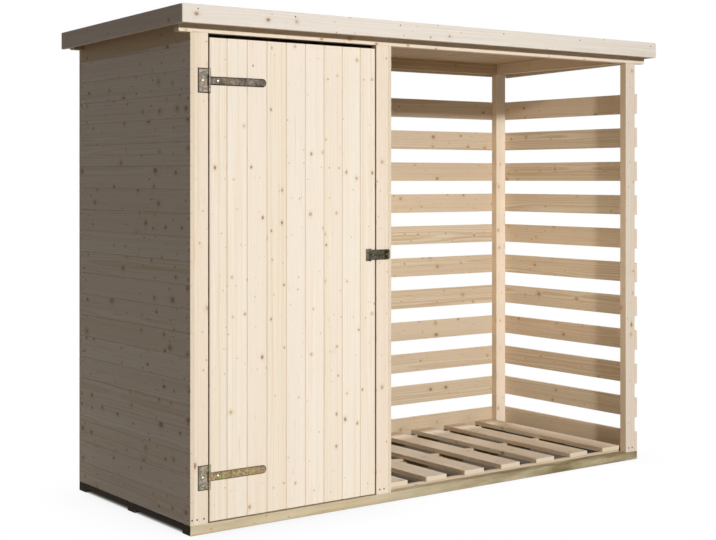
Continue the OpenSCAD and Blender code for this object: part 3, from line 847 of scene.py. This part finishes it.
# %% Saw the frame
fascia_low, fascia_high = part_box("left_fascia")
front_fascia_low, front_fascia_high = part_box("front_fascia")
fascia_drop = (fascia_high.z - fascia_low.z) - (front_fascia_high.z - front_fascia_low.z)
ROOF_FALL = fascia_drop / (fascia_high.y - fascia_low.y)
header_low, header_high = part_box("front_header")
# Above this height the front header takes painted shade, where the fascia's shadow falls on it.
HEADER_SHADE_FROM = 0.0135
UNDER_ROOF = (Vector((0, header_low.y, header_high.z)), Vector((0, ROOF_FALL, 1)).normalized())

# Each post takes painted shade on its narrow sides.
for post, stock, tone in (("front_left_post", FRAMING, (0.4, 0.5)),
                          ("front_middle_post", FRAMING, (0.5, 0.4)),
                          ("front_right_post", GREY_FRAMING, (0.6, 0.3)),
                          ("rear_left_post", FRAMING, None),
                          ("rear_middle_post", FRAMING, None),
                          ("rear_right_post", FRAMING, (0.5, 0.1))):
    saw(post, "z", "-y", stock, "spruce_frame", arris=ROUNDED_ARRIS, tone=tone, rough_sides=True)
# planed gives where painted shade starts on the front header; the rear header takes the darker roof-board
# stock as painted shade.
for header, stock, planed in (("front_header", FRAMING, HEADER_SHADE_FROM), ("rear_header", DECK, math.inf)):
    saw(header, "x", "-y", stock, "spruce_frame", cuts=[UNDER_ROOF], rough_from=planed)
for rail in ("left_rake_rail", "partition_rake_rail", "right_rake_rail"):
    saw(rail, "y", "-x", SLAT, "spruce_frame", cuts=[UNDER_ROOF])
print("the roof falls", round(1000 * ROOF_FALL, 1), "mm in a metre")

# %% [markdown]
# ## Matchboard walls
# The closed walls are tongued and grooved boards with a V joint on the outer face, laid from the bearers
# up. Each board is sawn separately, so neighbours differ in tint and knots as real ones do. A side wall
# runs up between the two headers, so a board that reaches past their underside is notched at both ends:
# its outline is then a T on its head instead of a rectangle.

# %% Saw the walls
BOARD_COVER = 0.092
VEE = 0.003
WALL_VEE = 0.0018
ring_z = header_low.z
between_headers = (header_high.y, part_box("rear_header")[0].y)
wall_low, wall_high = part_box("left_wall")
rake_low, rake_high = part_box("left_rake_board")
rake_line = Vector((0, wall_low.y, wall_high.z))
UNDER_RAKE = (rake_line, Vector((0, ROOF_FALL, 1)).normalized())
OVER_RAKE = (rake_line, -UNDER_RAKE[1])


def side_board(low, high, face, **finish):
    """One level board of a side wall, notched where it passes the headers."""
    place, (length, width, thickness) = board_place(low, high, "y" if face == "x" else "-y", face)
    ends = [place.inverted() @ Vector((low.x, y, low.z)) for y in between_headers]
    first, last = sorted(end.x for end in ends)
    notch = max(0.0, ring_z - low.z)
    outline = [(0, 0), (length, 0), (length, width), (0, width)]
    if high.z > ring_z and notch:
        outline = [(0, 0), (length, 0), (length, notch), (last, notch), (last, width), (first, width),
                   (first, notch), (0, notch)]
    elif high.z > ring_z:
        outline = [(first, 0), (last, 0), (last, width), (first, width)]
    return sawn_board(outline, thickness, place, **finish)


def wall_boards(node, face, make, **finish):
    """Level boards from the bottom of a wall node to its top."""
    low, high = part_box(node)
    boards = []
    z = low.z
    while z < high.z - 2 * VEE:
        top = min(z + BOARD_COVER, high.z)
        corners = Vector((low.x, low.y, z)), Vector((high.x, high.y, top))
        boards.append(make(*corners, face, vee=WALL_VEE, **finish))
        z = top
    return boards


def back_board(low, high, face, **finish):
    """One level board of the back wall."""
    return straight_board(low, high, "x", face, **finish)


for piece, wall, face, make, top_cut in (
        ("left_wall_boards", "left_wall", "-x", side_board, UNDER_RAKE),
        ("partition_boards", "partition_wall", "x", side_board, UNDER_ROOF),
        ("cupboard_back_boards", "cupboard_back_wall", "y", back_board, UNDER_ROOF)):
    boards = wall_boards(wall, face, make, cuts=[top_cut])
    store_piece(piece, boards, WALLING, "spruce_cladding", "frame", wall)
# The raking board takes the shaded stock: painted shade under the eaves.
store_piece("left_rake_board_sawn", [side_board(rake_low, rake_high, "-x", cuts=[UNDER_ROOF, OVER_RAKE])],
            SHADED_RAKE, "spruce_cladding", "frame", "left_rake_board")

# %% [markdown]
# ## Slats and the boards above them
# The bay is closed by slats with gaps between them, nailed to the outside of the posts, and by one board
# under the roof on each side. They come from a yellower grade of timber than the frame.

# %% Saw the slats
for slat_node, along, face in (("back_slats", "x", "y"), ("right_slats", "y", "x")):
    saw(slat_node, along, face, SLAT, "spruce_cladding")
saw("back_top_board", "x", "y", SLAT, "spruce_cladding", cuts=[UNDER_ROOF])
side_low, side_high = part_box("right_rake_board")
right_rake_height = (side_high.z - side_low.z) - ROOF_FALL * (side_high.y - side_low.y)
OVER_SIDE = (Vector((0, side_low.y, side_high.z - right_rake_height)), -UNDER_ROOF[1])
saw("right_rake_board", "y", "x", SLAT, "spruce_cladding", cuts=[UNDER_ROOF, OVER_SIDE])

# %% [markdown]
# ## Roof boards and fascia
# The roof is boarded from front to back, with the V joints underneath where they can be seen from the bay.
# The boards are sawn level and then tilted together about the front edge. Tilting pushes their upper corners
# a little towards the back, so they are sawn that much shorter. A fascia of pale planed board hides their
# ends at the front and the sides, and a lower eaves board lets the water off at the back. The front fascia
# stays half a millimetre back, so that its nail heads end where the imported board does.

# %% Saw the roof
NAIL_ROOM = Vector((0, 0.0005, 0))
FASCIA_ARRIS = 0.003
deck_low, deck_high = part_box("roof_deck")
deck_slope = math.atan(ROOF_FALL)
deck_thickness = (deck_high.z - deck_low.z - ROOF_FALL * (deck_high.y - deck_low.y)) * math.cos(deck_slope)
front_under = Vector((deck_low.x, deck_low.y, deck_high.z - deck_thickness / math.cos(deck_slope)))
TILT = Matrix.Translation(front_under) @ Matrix.Rotation(-deck_slope, 4, "X")
deck_run = (deck_high.y - deck_low.y) / math.cos(deck_slope) - deck_thickness * ROOF_FALL


def tilted(boards):
    """Boards sawn level from the front lower edge of the roof, turned down to the slope."""
    for board in boards:
        bmesh.ops.transform(board, matrix=TILT, verts=board.verts)
    return boards


def roof_boards():
    """Boards side by side over the whole length of the roof."""
    boards = []
    x = 0.0
    total = deck_high.x - deck_low.x
    while x < total - 2 * VEE:
        side = min(x + BOARD_COVER, total)
        boards.append(straight_board(Vector((x, 0, 0)), Vector((side, deck_run, deck_thickness)), "y", "-z",
                                     vee=VEE))
        x = side
    return boards


store_piece("roof_boards", tilted(roof_boards()), DECK, "spruce_frame", "frame", "roof_deck")
store_piece("front_fascia_sawn",
            [straight_board(front_fascia_low + NAIL_ROOM, front_fascia_high, "x", "-y", arris=FASCIA_ARRIS)],
            FASCIA, "spruce_fascia", "frame", "front_fascia")
fascia_height = front_fascia_high.z - front_fascia_low.z
# The side fascias take the darker copy of the fascia stock as painted shade.
for fascia, face in (("left_fascia", "-x"), ("right_fascia", "x")):
    low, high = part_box(fascia)
    place, (length, width, thickness) = board_place(low, high, "y" if face == "x" else "-y", face)
    start, end = (fascia_drop, 0.0) if face == "x" else (0.0, fascia_drop)
    outline = [(0, start), (length, end), (length, end + fascia_height), (0, start + fascia_height)]
    store_piece(fascia + "_sawn", [sawn_board(outline, thickness, place, arris=ROUNDED_ARRIS)],
                SHADED_FASCIA, "spruce_fascia", "frame", fascia)
saw("rear_eaves_board", "x", "y", FASCIA, "spruce_fascia")

# %% [markdown]
# ## The door
# The door is nine upright matchboards, the outer two cut narrower so that the joints are centred, held
# together from behind by two ledges and a brace that rises away from the hinges. It rides on the door's
# body, so it swings as one.

# %% Saw the door
door_low, door_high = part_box("door_boards")
door_width = door_high.x - door_low.x
edge_board = (door_width % BOARD_COVER + BOARD_COVER) / 2
joints = [door_low.x]
x = door_low.x + edge_board
while x < door_high.x - VEE:
    joints.append(x)
    x += BOARD_COVER
joints.append(door_high.x)
door_planks = [
    straight_board(Vector((left, door_low.y, door_low.z)), Vector((right, door_high.y, door_high.z)),
                   "z", "-y", vee=VEE)
    for left, right in zip(joints, joints[1:])
]
store_piece("door_planks", door_planks, CLADDING, "spruce_door", "door", "door_boards")
for ledge in ("door_top_ledge", "door_bottom_ledge"):
    saw(ledge, "x", "y", CLADDING, "spruce_door", "door")

BRACE_WIDTH = 0.095
brace_low, brace_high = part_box("door_brace")
brace_run = brace_high.x - brace_low.x
brace_rise = brace_high.z - brace_low.z
foot = BRACE_WIDTH / math.cos(math.atan2(brace_run - BRACE_WIDTH, brace_rise))
lean = Vector((brace_run - foot, 0, brace_rise)).normalized()
corners = [Vector((x, 0, z)) for x, z in
           ((0, 0), (foot, 0), (brace_run, brace_rise), (brace_run - foot, brace_rise))]
brace_across = AXES["y"].cross(lean)
brace_turn = Matrix((lean, brace_across, AXES["y"])).transposed().to_4x4()
brace_place = Matrix.Translation(brace_low) @ brace_turn
brace_outline = [(corner.dot(lean), corner.dot(brace_across)) for corner in corners]
store_piece("door_brace_sawn", [sawn_board(brace_outline, brace_high.y - brace_low.y, brace_place)],
            CLADDING, "spruce_door", "door", "door_brace")
print("door of", len(door_planks), "boards,", round(door_width, 3), "m wide")

# %% [markdown]
# ## Metal finishes
# The T hinges are zinc plated and yellow passivated, a film that shifts between grey, pink, gold and green
# within a few centimetres. Each plating bath leaves its own mix, so the upper strap is browned, the lower one
# golden and its plate pale. The hasp is a darker gunmetal, screws are bright, nails dull. A noise in Object
# coordinates runs through a colour ramp for the film, so it stays put on the piece. The plates carry an
# attribute that is one along their outline: there the film is darkened with a painted shadow.

# %% Make the metal materials
# Painted shadow along the outlines of plates and the ends of knuckles.
OUTLINE_SHADOW = (44, 38, 30)
MOTTLE_WAVES = (140, 140, 140)
MOTTLE_DETAIL = (3, 0.7)
MOTTLE_ROUGHNESS = 0.24
MOTTLE_STEP = (0.36, 0.64, 0.52, 1.22)
OUTLINE_SHADOW_STEP = (0.05, 0.6, 0, 0.85)
METAL_BUMP = (0.25, 0.0003)
BAND_START = 0.34
BAND_RUN = 0.32


def colour_band(tree, value, colours):
    """A colour ramp with evenly spread stops round the middle of a noise."""
    band = tree.nodes.new("ShaderNodeValToRGB")
    stops = band.color_ramp.elements
    while len(stops) < len(colours):
        stops.new(0.5)
    for number, (stop, colour) in enumerate(zip(stops, colours)):
        stop.position = BAND_START + BAND_RUN * number / (len(colours) - 1)
        stop.color = srgb(*colour)
    put(tree, value, band.inputs[0])
    return band.outputs["Color"]


def metal(name, colours, patch_size, roughness, outline_shadow=OUTLINE_SHADOW):
    """A plated metal whose film wanders between colours, with a fine mottle and a painted shadow on outlines.
    """
    material, tree, shader = new_material(name)
    shader.inputs["Metallic"].default_value = 1.0
    place = tree.nodes.new("ShaderNodeTexCoord").outputs["Object"]
    density = 1 / patch_size
    broad = noise(tree, scaled(tree, place, density, density, density), 2, 0.5)
    fine = noise(tree, scaled(tree, place, *MOTTLE_WAVES), *MOTTLE_DETAIL)
    colour = shaded(tree, colour_band(tree, broad, colours), ramp(tree, fine, *MOTTLE_STEP))
    # The outline of each plate is darkened: painted shadow.
    shadow_share = ramp(tree, attribute(tree, "edge")["Fac"], *OUTLINE_SHADOW_STEP)
    colour = mix(tree, shadow_share, colour, srgb(*outline_shadow))
    uneven = times_plus(tree, fine, MOTTLE_ROUGHNESS, roughness - MOTTLE_ROUGHNESS / 2)
    dress(tree, shader, colour, uneven, fine, *METAL_BUMP)
    return material


ZINC = metal("passivated_zinc", ((106, 100, 90), (126, 120, 106), (142, 130, 120), (132, 122, 96),
                                 (108, 106, 84)), 0.07, 0.42)
GOLDEN = metal("golden_zinc", ((150, 144, 120), (166, 136, 112), (170, 150, 108), (164, 144, 108),
                               (142, 144, 94)), 0.09, 0.42, outline_shadow=(108, 92, 64))
PALE_ZINC = metal("pale_zinc", ((132, 126, 112), (154, 146, 128), (162, 150, 136), (156, 146, 118),
                                (136, 134, 108)), 0.07, 0.42, outline_shadow=(84, 74, 58))
BROWNED = metal("browned_zinc", ((84, 78, 68), (104, 96, 86), (124, 112, 104), (112, 102, 82), (88, 84, 70)),
                0.07, 0.42)
GUNMETAL = metal("gunmetal", ((70, 62, 47), (88, 85, 67), (99, 98, 80), (78, 73, 55)), 0.03, 0.4)
BRIGHT = metal("bright_screw", ((238, 236, 230), (222, 220, 212)), 0.01, 0.3)
DULL = metal("dull_nail", ((84, 74, 64), (62, 54, 46)), 0.01, 0.5)
print("metals:", [m.name for m in (ZINC, GOLDEN, PALE_ZINC, BROWNED, GUNMETAL, BRIGHT, DULL)])

# %% [markdown]
# ## Cutting plates, rolling knuckles, driving screws
# Sheet metal is cut flat: the outline and any holes are filled, extruded, and two insets on the face make
# first a fine chamfer and then the border that takes a painted shadow. A knuckle is a short cylinder with
# eased ends. A screw head starts as a small grid whose rim is pushed out to a circle; the five squares in the
# middle sink in as the cross recess. Nails are only a few faces each, because there are hundreds.

# %% Helpers for ironmongery
CHAMFER = 0.0005
BORDER = 0.005
KNUCKLE_SIDES = 24
DOME = 1.2
LOOKS_OUT = 0.9
LOOKS_SIDEWAYS = 0.1
CROSS_ARM = 0.25
CROSS_REACH = 0.6
CROSS_DEPTH = 0.8
NAIL_TAPER = 0.85


def mark_border(part, bare=()):
    """Store one on every vertex that isn't on the bare faces."""
    part.verts.index_update()
    inner = {vert.index for face in bare for vert in face.verts}
    edge = part.verts.layers.float.new("edge")
    for vert in part.verts:
        vert[edge] = 0.0 if vert.index in inner else 1.0


def cut_plate(outline, thickness, place, holes=(), border=BORDER, raised=0.0):
    """A metal plate with its face towards +z of its place."""
    plate = bmesh.new()
    for loop in (outline, *holes):
        corners = [plate.verts.new((x, y, 0)) for x, y in loop]
        for first, second in zip(corners, corners[1:] + corners[:1]):
            plate.edges.new((first, second))
    bmesh.ops.triangle_fill(plate, edges=plate.edges[:], use_beauty=True, normal=(0, 0, 1))
    swept = bmesh.ops.extrude_face_region(plate, geom=plate.faces[:])
    lifted = [item for item in swept["geom"] if isinstance(item, bmesh.types.BMVert)]
    bmesh.ops.translate(plate, verts=lifted, vec=(0, 0, thickness - CHAMFER))
    bmesh.ops.recalc_face_normals(plate, faces=plate.faces)
    front = [face for face in plate.faces if face.normal.z > LOOKS_OUT]
    bmesh.ops.inset_region(plate, faces=front, thickness=CHAMFER, depth=CHAMFER, use_even_offset=True)
    bmesh.ops.inset_region(plate, faces=front, thickness=border, depth=raised, use_even_offset=True)
    mark_border(plate, front)
    bmesh.ops.transform(plate, matrix=place, verts=plate.verts)
    return plate


def facing(point, way):
    """The place at a point whose +z looks the given way."""
    return Matrix.Translation(point) @ AXES[way].to_track_quat("Z", "Y").to_matrix().to_4x4()


def knuckle(radius, low_z, high_z, axis):
    """An upright roll of metal round a pin."""
    roll = bmesh.new()
    middle = Matrix.Translation((axis.x, axis.y, (low_z + high_z) / 2))
    bmesh.ops.create_cone(roll, cap_ends=True, segments=KNUCKLE_SIDES, radius1=radius, radius2=radius,
                          depth=high_z - low_z, matrix=middle)
    rims = [edge for edge in roll.edges if edge.calc_face_angle(0) > SHARP]
    bmesh.ops.bevel(roll, geom=rims, offset=CHAMFER, segments=1, profile=0.5, affect="EDGES", material=-1)
    mark_border(roll, [face for face in roll.faces if abs(face.normal.z) < LOOKS_SIDEWAYS])
    return roll


def screw_head(place, radius=0.004, rise=0.0012):
    """A domed head with a cross recess."""
    head = bmesh.new()
    bmesh.ops.create_grid(head, x_segments=5, y_segments=5, size=radius)
    for vert in head.verts:
        if vert.is_boundary:
            vert.co = vert.co.normalized() * radius
        vert.co.z = rise * (DOME - (vert.co.length / radius) ** 2)
    cross = []
    for face in head.faces:
        nearer, farther = sorted(abs(c) for c in face.calc_center_median().xy)
        if nearer < CROSS_ARM * radius and farther < CROSS_REACH * radius:
            cross.append(face)
    sunk = bmesh.ops.extrude_face_region(head, geom=cross)
    bmesh.ops.translate(head, verts=[v for v in sunk["geom"] if isinstance(v, bmesh.types.BMVert)],
                        vec=(0, 0, -CROSS_DEPTH * rise))
    bmesh.ops.delete(head, geom=[face for face in cross if face.is_valid], context="FACES")
    rim = bmesh.ops.extrude_edge_only(head, edges=[edge for edge in head.edges if edge.is_boundary])
    for item in rim["geom"]:
        if isinstance(item, bmesh.types.BMVert):
            item.co.z = -rise
    bmesh.ops.holes_fill(head, edges=[edge for edge in head.edges if edge.is_boundary], sides=0)
    bmesh.ops.recalc_face_normals(head, faces=head.faces)
    mark_border(head, head.faces)
    bmesh.ops.transform(head, matrix=place, verts=head.verts)
    return head


def nail_head(place, radius=0.0024, rise=0.0005):
    """A flat round head driven home."""
    head = bmesh.new()
    bmesh.ops.create_cone(head, cap_ends=True, segments=8, radius1=radius, radius2=NAIL_TAPER * radius,
                          depth=2 * rise, matrix=place)
    mark_border(head, head.faces)
    return head


print("ironmongery helpers ready")

# %% [markdown]
# ## The T hinges
# A T hinge has an upright plate on the post, with a knuckle above and below, and a long strap on the door
# that turns on the same pin. The pin's place follows from the two packed boxes: the strap's box starts as
# far left of the pin as the plate's box ends right of it.

# %% Fit the hinges
HINGE_METAL = 0.003
HINGE_GAP = 0.0005
PIN_RADIUS = 0.003
PLATE_SCREW_STEP = 0.034
STRAP_SCREW_LEAD = 0.04
TIP_POINTS = 12


def fit_hinge(level, plate_finish, strap_finish):
    """Plate, strap and screws of one hinge."""
    plate_low, plate_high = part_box(level + "_hinge_plate")
    strap_low, strap_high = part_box(level + "_hinge_strap")
    roll = (plate_high.x - strap_low.x) / 2
    pin = Vector((strap_low.x + roll, plate_low.y + roll, (plate_low.z + plate_high.z) / 2))
    back = plate_high.y
    on_plate = Matrix.Translation((pin.x, back, pin.z)) @ Matrix.Rotation(math.radians(90), 4, "X")
    tall = (plate_high.z - plate_low.z) / 2
    half = (strap_high.z - strap_low.z) / 2
    eye = half + HINGE_GAP
    side = plate_low.x - pin.x
    neck = -roll - HINGE_GAP
    plate_outline = [(side, -tall), (0, -tall), (0, -eye), (neck, -eye), (neck, eye), (0, eye), (0, tall),
                     (side, tall)]
    plate = [cut_plate(plate_outline, HINGE_METAL, on_plate),
             knuckle(roll, pin.z + eye, plate_high.z, pin), knuckle(roll, plate_low.z, pin.z - eye, pin),
             knuckle(PIN_RADIUS, pin.z - eye, pin.z + eye, pin)]
    store_piece(level + "_hinge_plate_fitted", plate, plate_finish, "zinc_hinge", "frame",
                level + "_hinge_plate")
    tip = strap_high.x - pin.x - half
    turns = [math.pi * (step / TIP_POINTS - 0.5) for step in range(TIP_POINTS + 1)]
    strap_outline = [(0, -half), *((tip + half * math.cos(t), half * math.sin(t)) for t in turns), (0, half)]
    strap = [cut_plate(strap_outline, HINGE_METAL, on_plate), knuckle(roll, strap_low.z, strap_high.z, pin)]
    store_piece(level + "_hinge_strap_fitted", strap, strap_finish, "zinc_hinge", "door",
                level + "_hinge_strap")

    face = back - HINGE_METAL
    plate_middle = (plate_low.x + pin.x + neck) / 2
    plate_screws = [facing(Vector((plate_middle, face, pin.z + row * PLATE_SCREW_STEP)), "-y")
                    for row in (-1, 0, 1)]
    strap_screws = [facing(Vector((pin.x + x, face, pin.z)), "-y")
                    for x in (STRAP_SCREW_LEAD, (STRAP_SCREW_LEAD + tip) / 2, tip)]
    for body, places, bright, finish in (("frame", plate_screws, 1, plate_finish),
                                         ("door", strap_screws, 0, strap_finish)):
        name = f"{level}_hinge_{body}_screw"
        store_piece(name + "_bright", [screw_head(places[bright])], BRIGHT, "zinc_hinge", body)
        dark = [screw_head(place) for number, place in enumerate(places) if number != bright]
        store_piece(name + "s_dark", dark, finish, "zinc_hinge", body)


fit_hinge("upper", ZINC, BROWNED)
fit_hinge("lower", PALE_ZINC, GOLDEN)

# %% [markdown]
# ## The hasp and its staple
# The hasp's strap is pressed from sheet with a raised middle, and its slot passes over the staple on the
# post. The leaf on the door and the staple are small and mostly hidden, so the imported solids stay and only
# get the finish.

# %% Fit the hasp
HASP_METAL = 0.0025
HASP_KNUCKLE = 0.004
HASP_TIP = 0.006
SLOT_WIDTH = 0.008
SLOT_HEIGHT = 0.031
EYE_HEIGHT = 0.0135
EYE_BORDER = 0.001
HASP_BORDER = 0.002
HASP_RAISED = 0.0008

hasp_low, hasp_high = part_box("hasp_strap")
staple_low, staple_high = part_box("staple")
hasp_pin = Vector((hasp_low.x + HASP_KNUCKLE, (hasp_low.y + hasp_high.y) / 2, (hasp_low.z + hasp_high.z) / 2))
reach = hasp_high.x - hasp_pin.x
half = (hasp_high.z - hasp_low.z) / 2
neck = HASP_KNUCKLE + HINGE_GAP
hasp_outline = [(neck, -half), (reach - HASP_TIP, -half), (reach, HASP_TIP - half), (reach, half - HASP_TIP),
                (reach - HASP_TIP, half), (neck, half)]
slot_x = (staple_low.x + staple_high.x) / 2 - hasp_pin.x
slot = [(slot_x + SLOT_WIDTH / 2 * i, SLOT_HEIGHT / 2 * j) for i, j in ((-1, -1), (1, -1), (1, 1), (-1, 1))]
on_hasp = (Matrix.Translation((hasp_pin.x, hasp_pin.y + HASP_METAL / 2, hasp_pin.z))
           @ Matrix.Rotation(math.radians(90), 4, "X"))
eye_outline = [(0, -EYE_HEIGHT), (neck, -EYE_HEIGHT), (neck, EYE_HEIGHT), (0, EYE_HEIGHT)]
hasp_parts = [cut_plate(hasp_outline, HASP_METAL, on_hasp, [slot], border=HASP_BORDER, raised=HASP_RAISED),
              knuckle(HASP_KNUCKLE, hasp_pin.z - EYE_HEIGHT, hasp_pin.z + EYE_HEIGHT, hasp_pin),
              cut_plate(eye_outline, HASP_METAL, on_hasp, border=EYE_BORDER)]
store_piece("hasp_strap_fitted", hasp_parts, GUNMETAL, "bronze_hasp", "hasp", "hasp_strap")
for iron in ("hasp_plate", "staple"):
    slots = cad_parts[iron].data.materials
    slots.clear()
    slots.append(ZINC)

# %% [markdown]
# ## Nails and screws in the timber
# The boards are held by wire nails: two in each end of a wall board or a slat, over the middle of the post
# behind, and a few along the fascia. Screws through the feet of the front posts hold them on the bearer.

# %% Drive the nails and screws
WALL_NAIL_INSET = 0.019
NAIL_PAIR = 0.026
FASCIA_NAIL_RADIUS = 0.0034
FASCIA_NAIL_DROP = 0.017
FASCIA_NAILS = (0.068, 0.51, 1.04, 1.624, 2.1, 2.583)
FOOT_SCREW_RADIUS = 0.0036
FOOT_SCREW_RISE = 0.001
FOOT_SCREW_HEIGHT = 0.021
FOOT_SCREWS = {
    "front_left_post": (-0.008, 0.014, 0.044),
    "front_middle_post": (0.017, 0.04),
    "front_right_post": (0.02, 0.044),
}


def nail_pairs(boxes, way, places):
    """Two nails, one above the other, on each level board at each place along the wall."""
    heads = []
    for low, high in boxes:
        middle = (low + high) / 2
        surface = [high.x if way == "x" else low.x, high.y if way == "y" else low.y]
        for along in places:
            point = Vector((surface[0], along, 0)) if way in ("x", "-x") else Vector((along, surface[1], 0))
            for side in (-1, 1):
                heads.append(nail_head(facing(point + Vector((0, 0, middle.z + side * NAIL_PAIR)), way)))
    return heads


def wall_rows(node):
    """The boxes of a wall's boards, from the bearers up to where the roof cuts them."""
    low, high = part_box(node)
    rows = int((high.z - low.z) // BOARD_COVER)
    return [(Vector((low.x, low.y, low.z + BOARD_COVER * row)),
             Vector((high.x, high.y, low.z + BOARD_COVER * (row + 1)))) for row in range(rows)]


depth_nails = (wall_low.y + WALL_NAIL_INSET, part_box("rear_left_post")[0].y + WALL_NAIL_INSET)
rear_posts = [sum(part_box(post), Vector()).x / 2 for post in
              ("rear_left_post", "rear_middle_post", "rear_right_post")]
rear_ends = (rear_posts[0], rear_posts[1] - WALL_NAIL_INSET)
slat_ends = (rear_posts[1] + WALL_NAIL_INSET, rear_posts[2])
for piece, boxes, way, places in (
        ("left_wall_nails", wall_rows("left_wall"), "-x", depth_nails),
        ("partition_nails", wall_rows("partition_wall")[:-1], "x", depth_nails),
        ("cupboard_back_nails", wall_rows("cupboard_back_wall"), "y", rear_ends),
        ("back_slat_nails", solid_boxes("back_slats"), "y", slat_ends),
        ("right_slat_nails", solid_boxes("right_slats"), "x", depth_nails)):
    store_piece(piece, nail_pairs(boxes, way, places), DULL, "zinc_hinge", "frame")

fascia_face = front_fascia_low.y + NAIL_ROOM.y
nail_height = front_fascia_high.z - FASCIA_NAIL_DROP
fascia_points = [Vector((front_fascia_low.x + x, fascia_face, nail_height)) for x in FASCIA_NAILS]
store_piece("fascia_nails", [nail_head(facing(point, "-y"), FASCIA_NAIL_RADIUS) for point in fascia_points],
            DULL, "zinc_hinge", "frame")

foot_screws = []
for post, insets in FOOT_SCREWS.items():
    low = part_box(post)[0]
    for inset in insets:
        place = facing(low + Vector((inset, 0, FOOT_SCREW_HEIGHT)), "-y")
        foot_screws.append(screw_head(place, FOOT_SCREW_RADIUS, FOOT_SCREW_RISE))
store_piece("foot_screws", foot_screws, DULL, "zinc_hinge", "frame")

# %% [markdown]
# ## Roof felt
# The roof is covered with mineral felt in two strips along the length. The front strip laps over the rear
# one, so that water runs over the joint, and clout nails hold the lap and the edges. The felt's surface is
# crushed slate, which a Voronoi texture draws as coarse grains of several greys.

# %% Lay the felt
FELT_LAP = 0.075
FELT_ARRIS = 0.0004
SLATE_DARK = srgb(58, 64, 60)
SLATE_PALE = srgb(120, 126, 118)
SLATE_WORN = srgb(70, 74, 66)
WEAR_WAVES = (5, 5, 5)
WEAR_DETAIL = (4, 0.6)
WEAR_STEP = (0.4, 0.75, 0, 0.5)
FELT_SHINE = 0.3
FELT_ROUGHNESS = (0.2, 0.75)
FELT_BUMP = (0.6, 0.001)
GRAINS_PER_METRE = 420
CLOUT_STEP = 0.15
CLOUT_START = 0.09
CLOUT_INSET = 0.02
CLOUT_FROM_EAVES = 0.03
CLOUT_RADIUS = 0.005
CLOUT_RISE = 0.0006


def felt_material():
    """Coarse grains of slate in several greys over a dark sheet."""
    material, tree, shader = new_material("mineral_felt")
    shader.inputs["Specular IOR Level"].default_value = FELT_SHINE
    place = tree.nodes.new("ShaderNodeTexCoord").outputs["Object"]
    grains = tree.nodes.new("ShaderNodeTexVoronoi")
    grains.inputs["Scale"].default_value = GRAINS_PER_METRE
    put(tree, place, grains.inputs["Vector"])
    tint = split(tree, grains.outputs["Color"])[0]
    wear = noise(tree, scaled(tree, place, *WEAR_WAVES), *WEAR_DETAIL)
    colour = mix(tree, tint, SLATE_DARK, SLATE_PALE)
    colour = mix(tree, ramp(tree, wear, *WEAR_STEP), colour, SLATE_WORN)
    roughness = times_plus(tree, tint, *FELT_ROUGHNESS)
    dress(tree, shader, colour, roughness, grains.outputs["Distance"], *FELT_BUMP)
    return material


felt_low, felt_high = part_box("roof_felt")
felt_span = felt_high.x - felt_low.x
felt_thickness = (felt_high.z - felt_low.z - ROOF_FALL * (felt_high.y - felt_low.y)) * math.cos(deck_slope)
felt_top = deck_thickness + felt_thickness
felt_run = (felt_high.y - felt_low.y) / math.cos(deck_slope) - felt_top * ROOF_FALL
lap = felt_run / 2
strips = []
for start, end, height in ((lap - FELT_LAP, felt_run, felt_thickness / 2), (0, lap, felt_thickness)):
    low, high = Vector((0, start, deck_thickness)), Vector((felt_span, end, deck_thickness + height))
    strips.append(straight_board(low, high, "x", "z", arris=FELT_ARRIS))
store_piece("felt_strips", tilted(strips), felt_material(), "roof_felt", "frame", "roof_felt")
clouts = []
clout_rows = ((CLOUT_INSET, felt_thickness), (lap - CLOUT_INSET, felt_thickness),
              (felt_run - CLOUT_FROM_EAVES, felt_thickness / 2))
for column in range(int(felt_span / CLOUT_STEP)):
    x = CLOUT_START + CLOUT_STEP * column
    for y, height in clout_rows:
        place = facing(Vector((x, y, deck_thickness + height)), "z")
        clouts.append(nail_head(place, CLOUT_RADIUS, CLOUT_RISE))
store_piece("clout_nails", tilted(clouts), DULL, "roof_felt", "frame")

# %% [markdown]
# ## The size of the dressed store
# The box over everything that renders, apart from the floor, is printed in metres.

# %% Print the size
low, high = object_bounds()
print("visual box in metres:", [round(v, 3) for v in (*low, *high)])
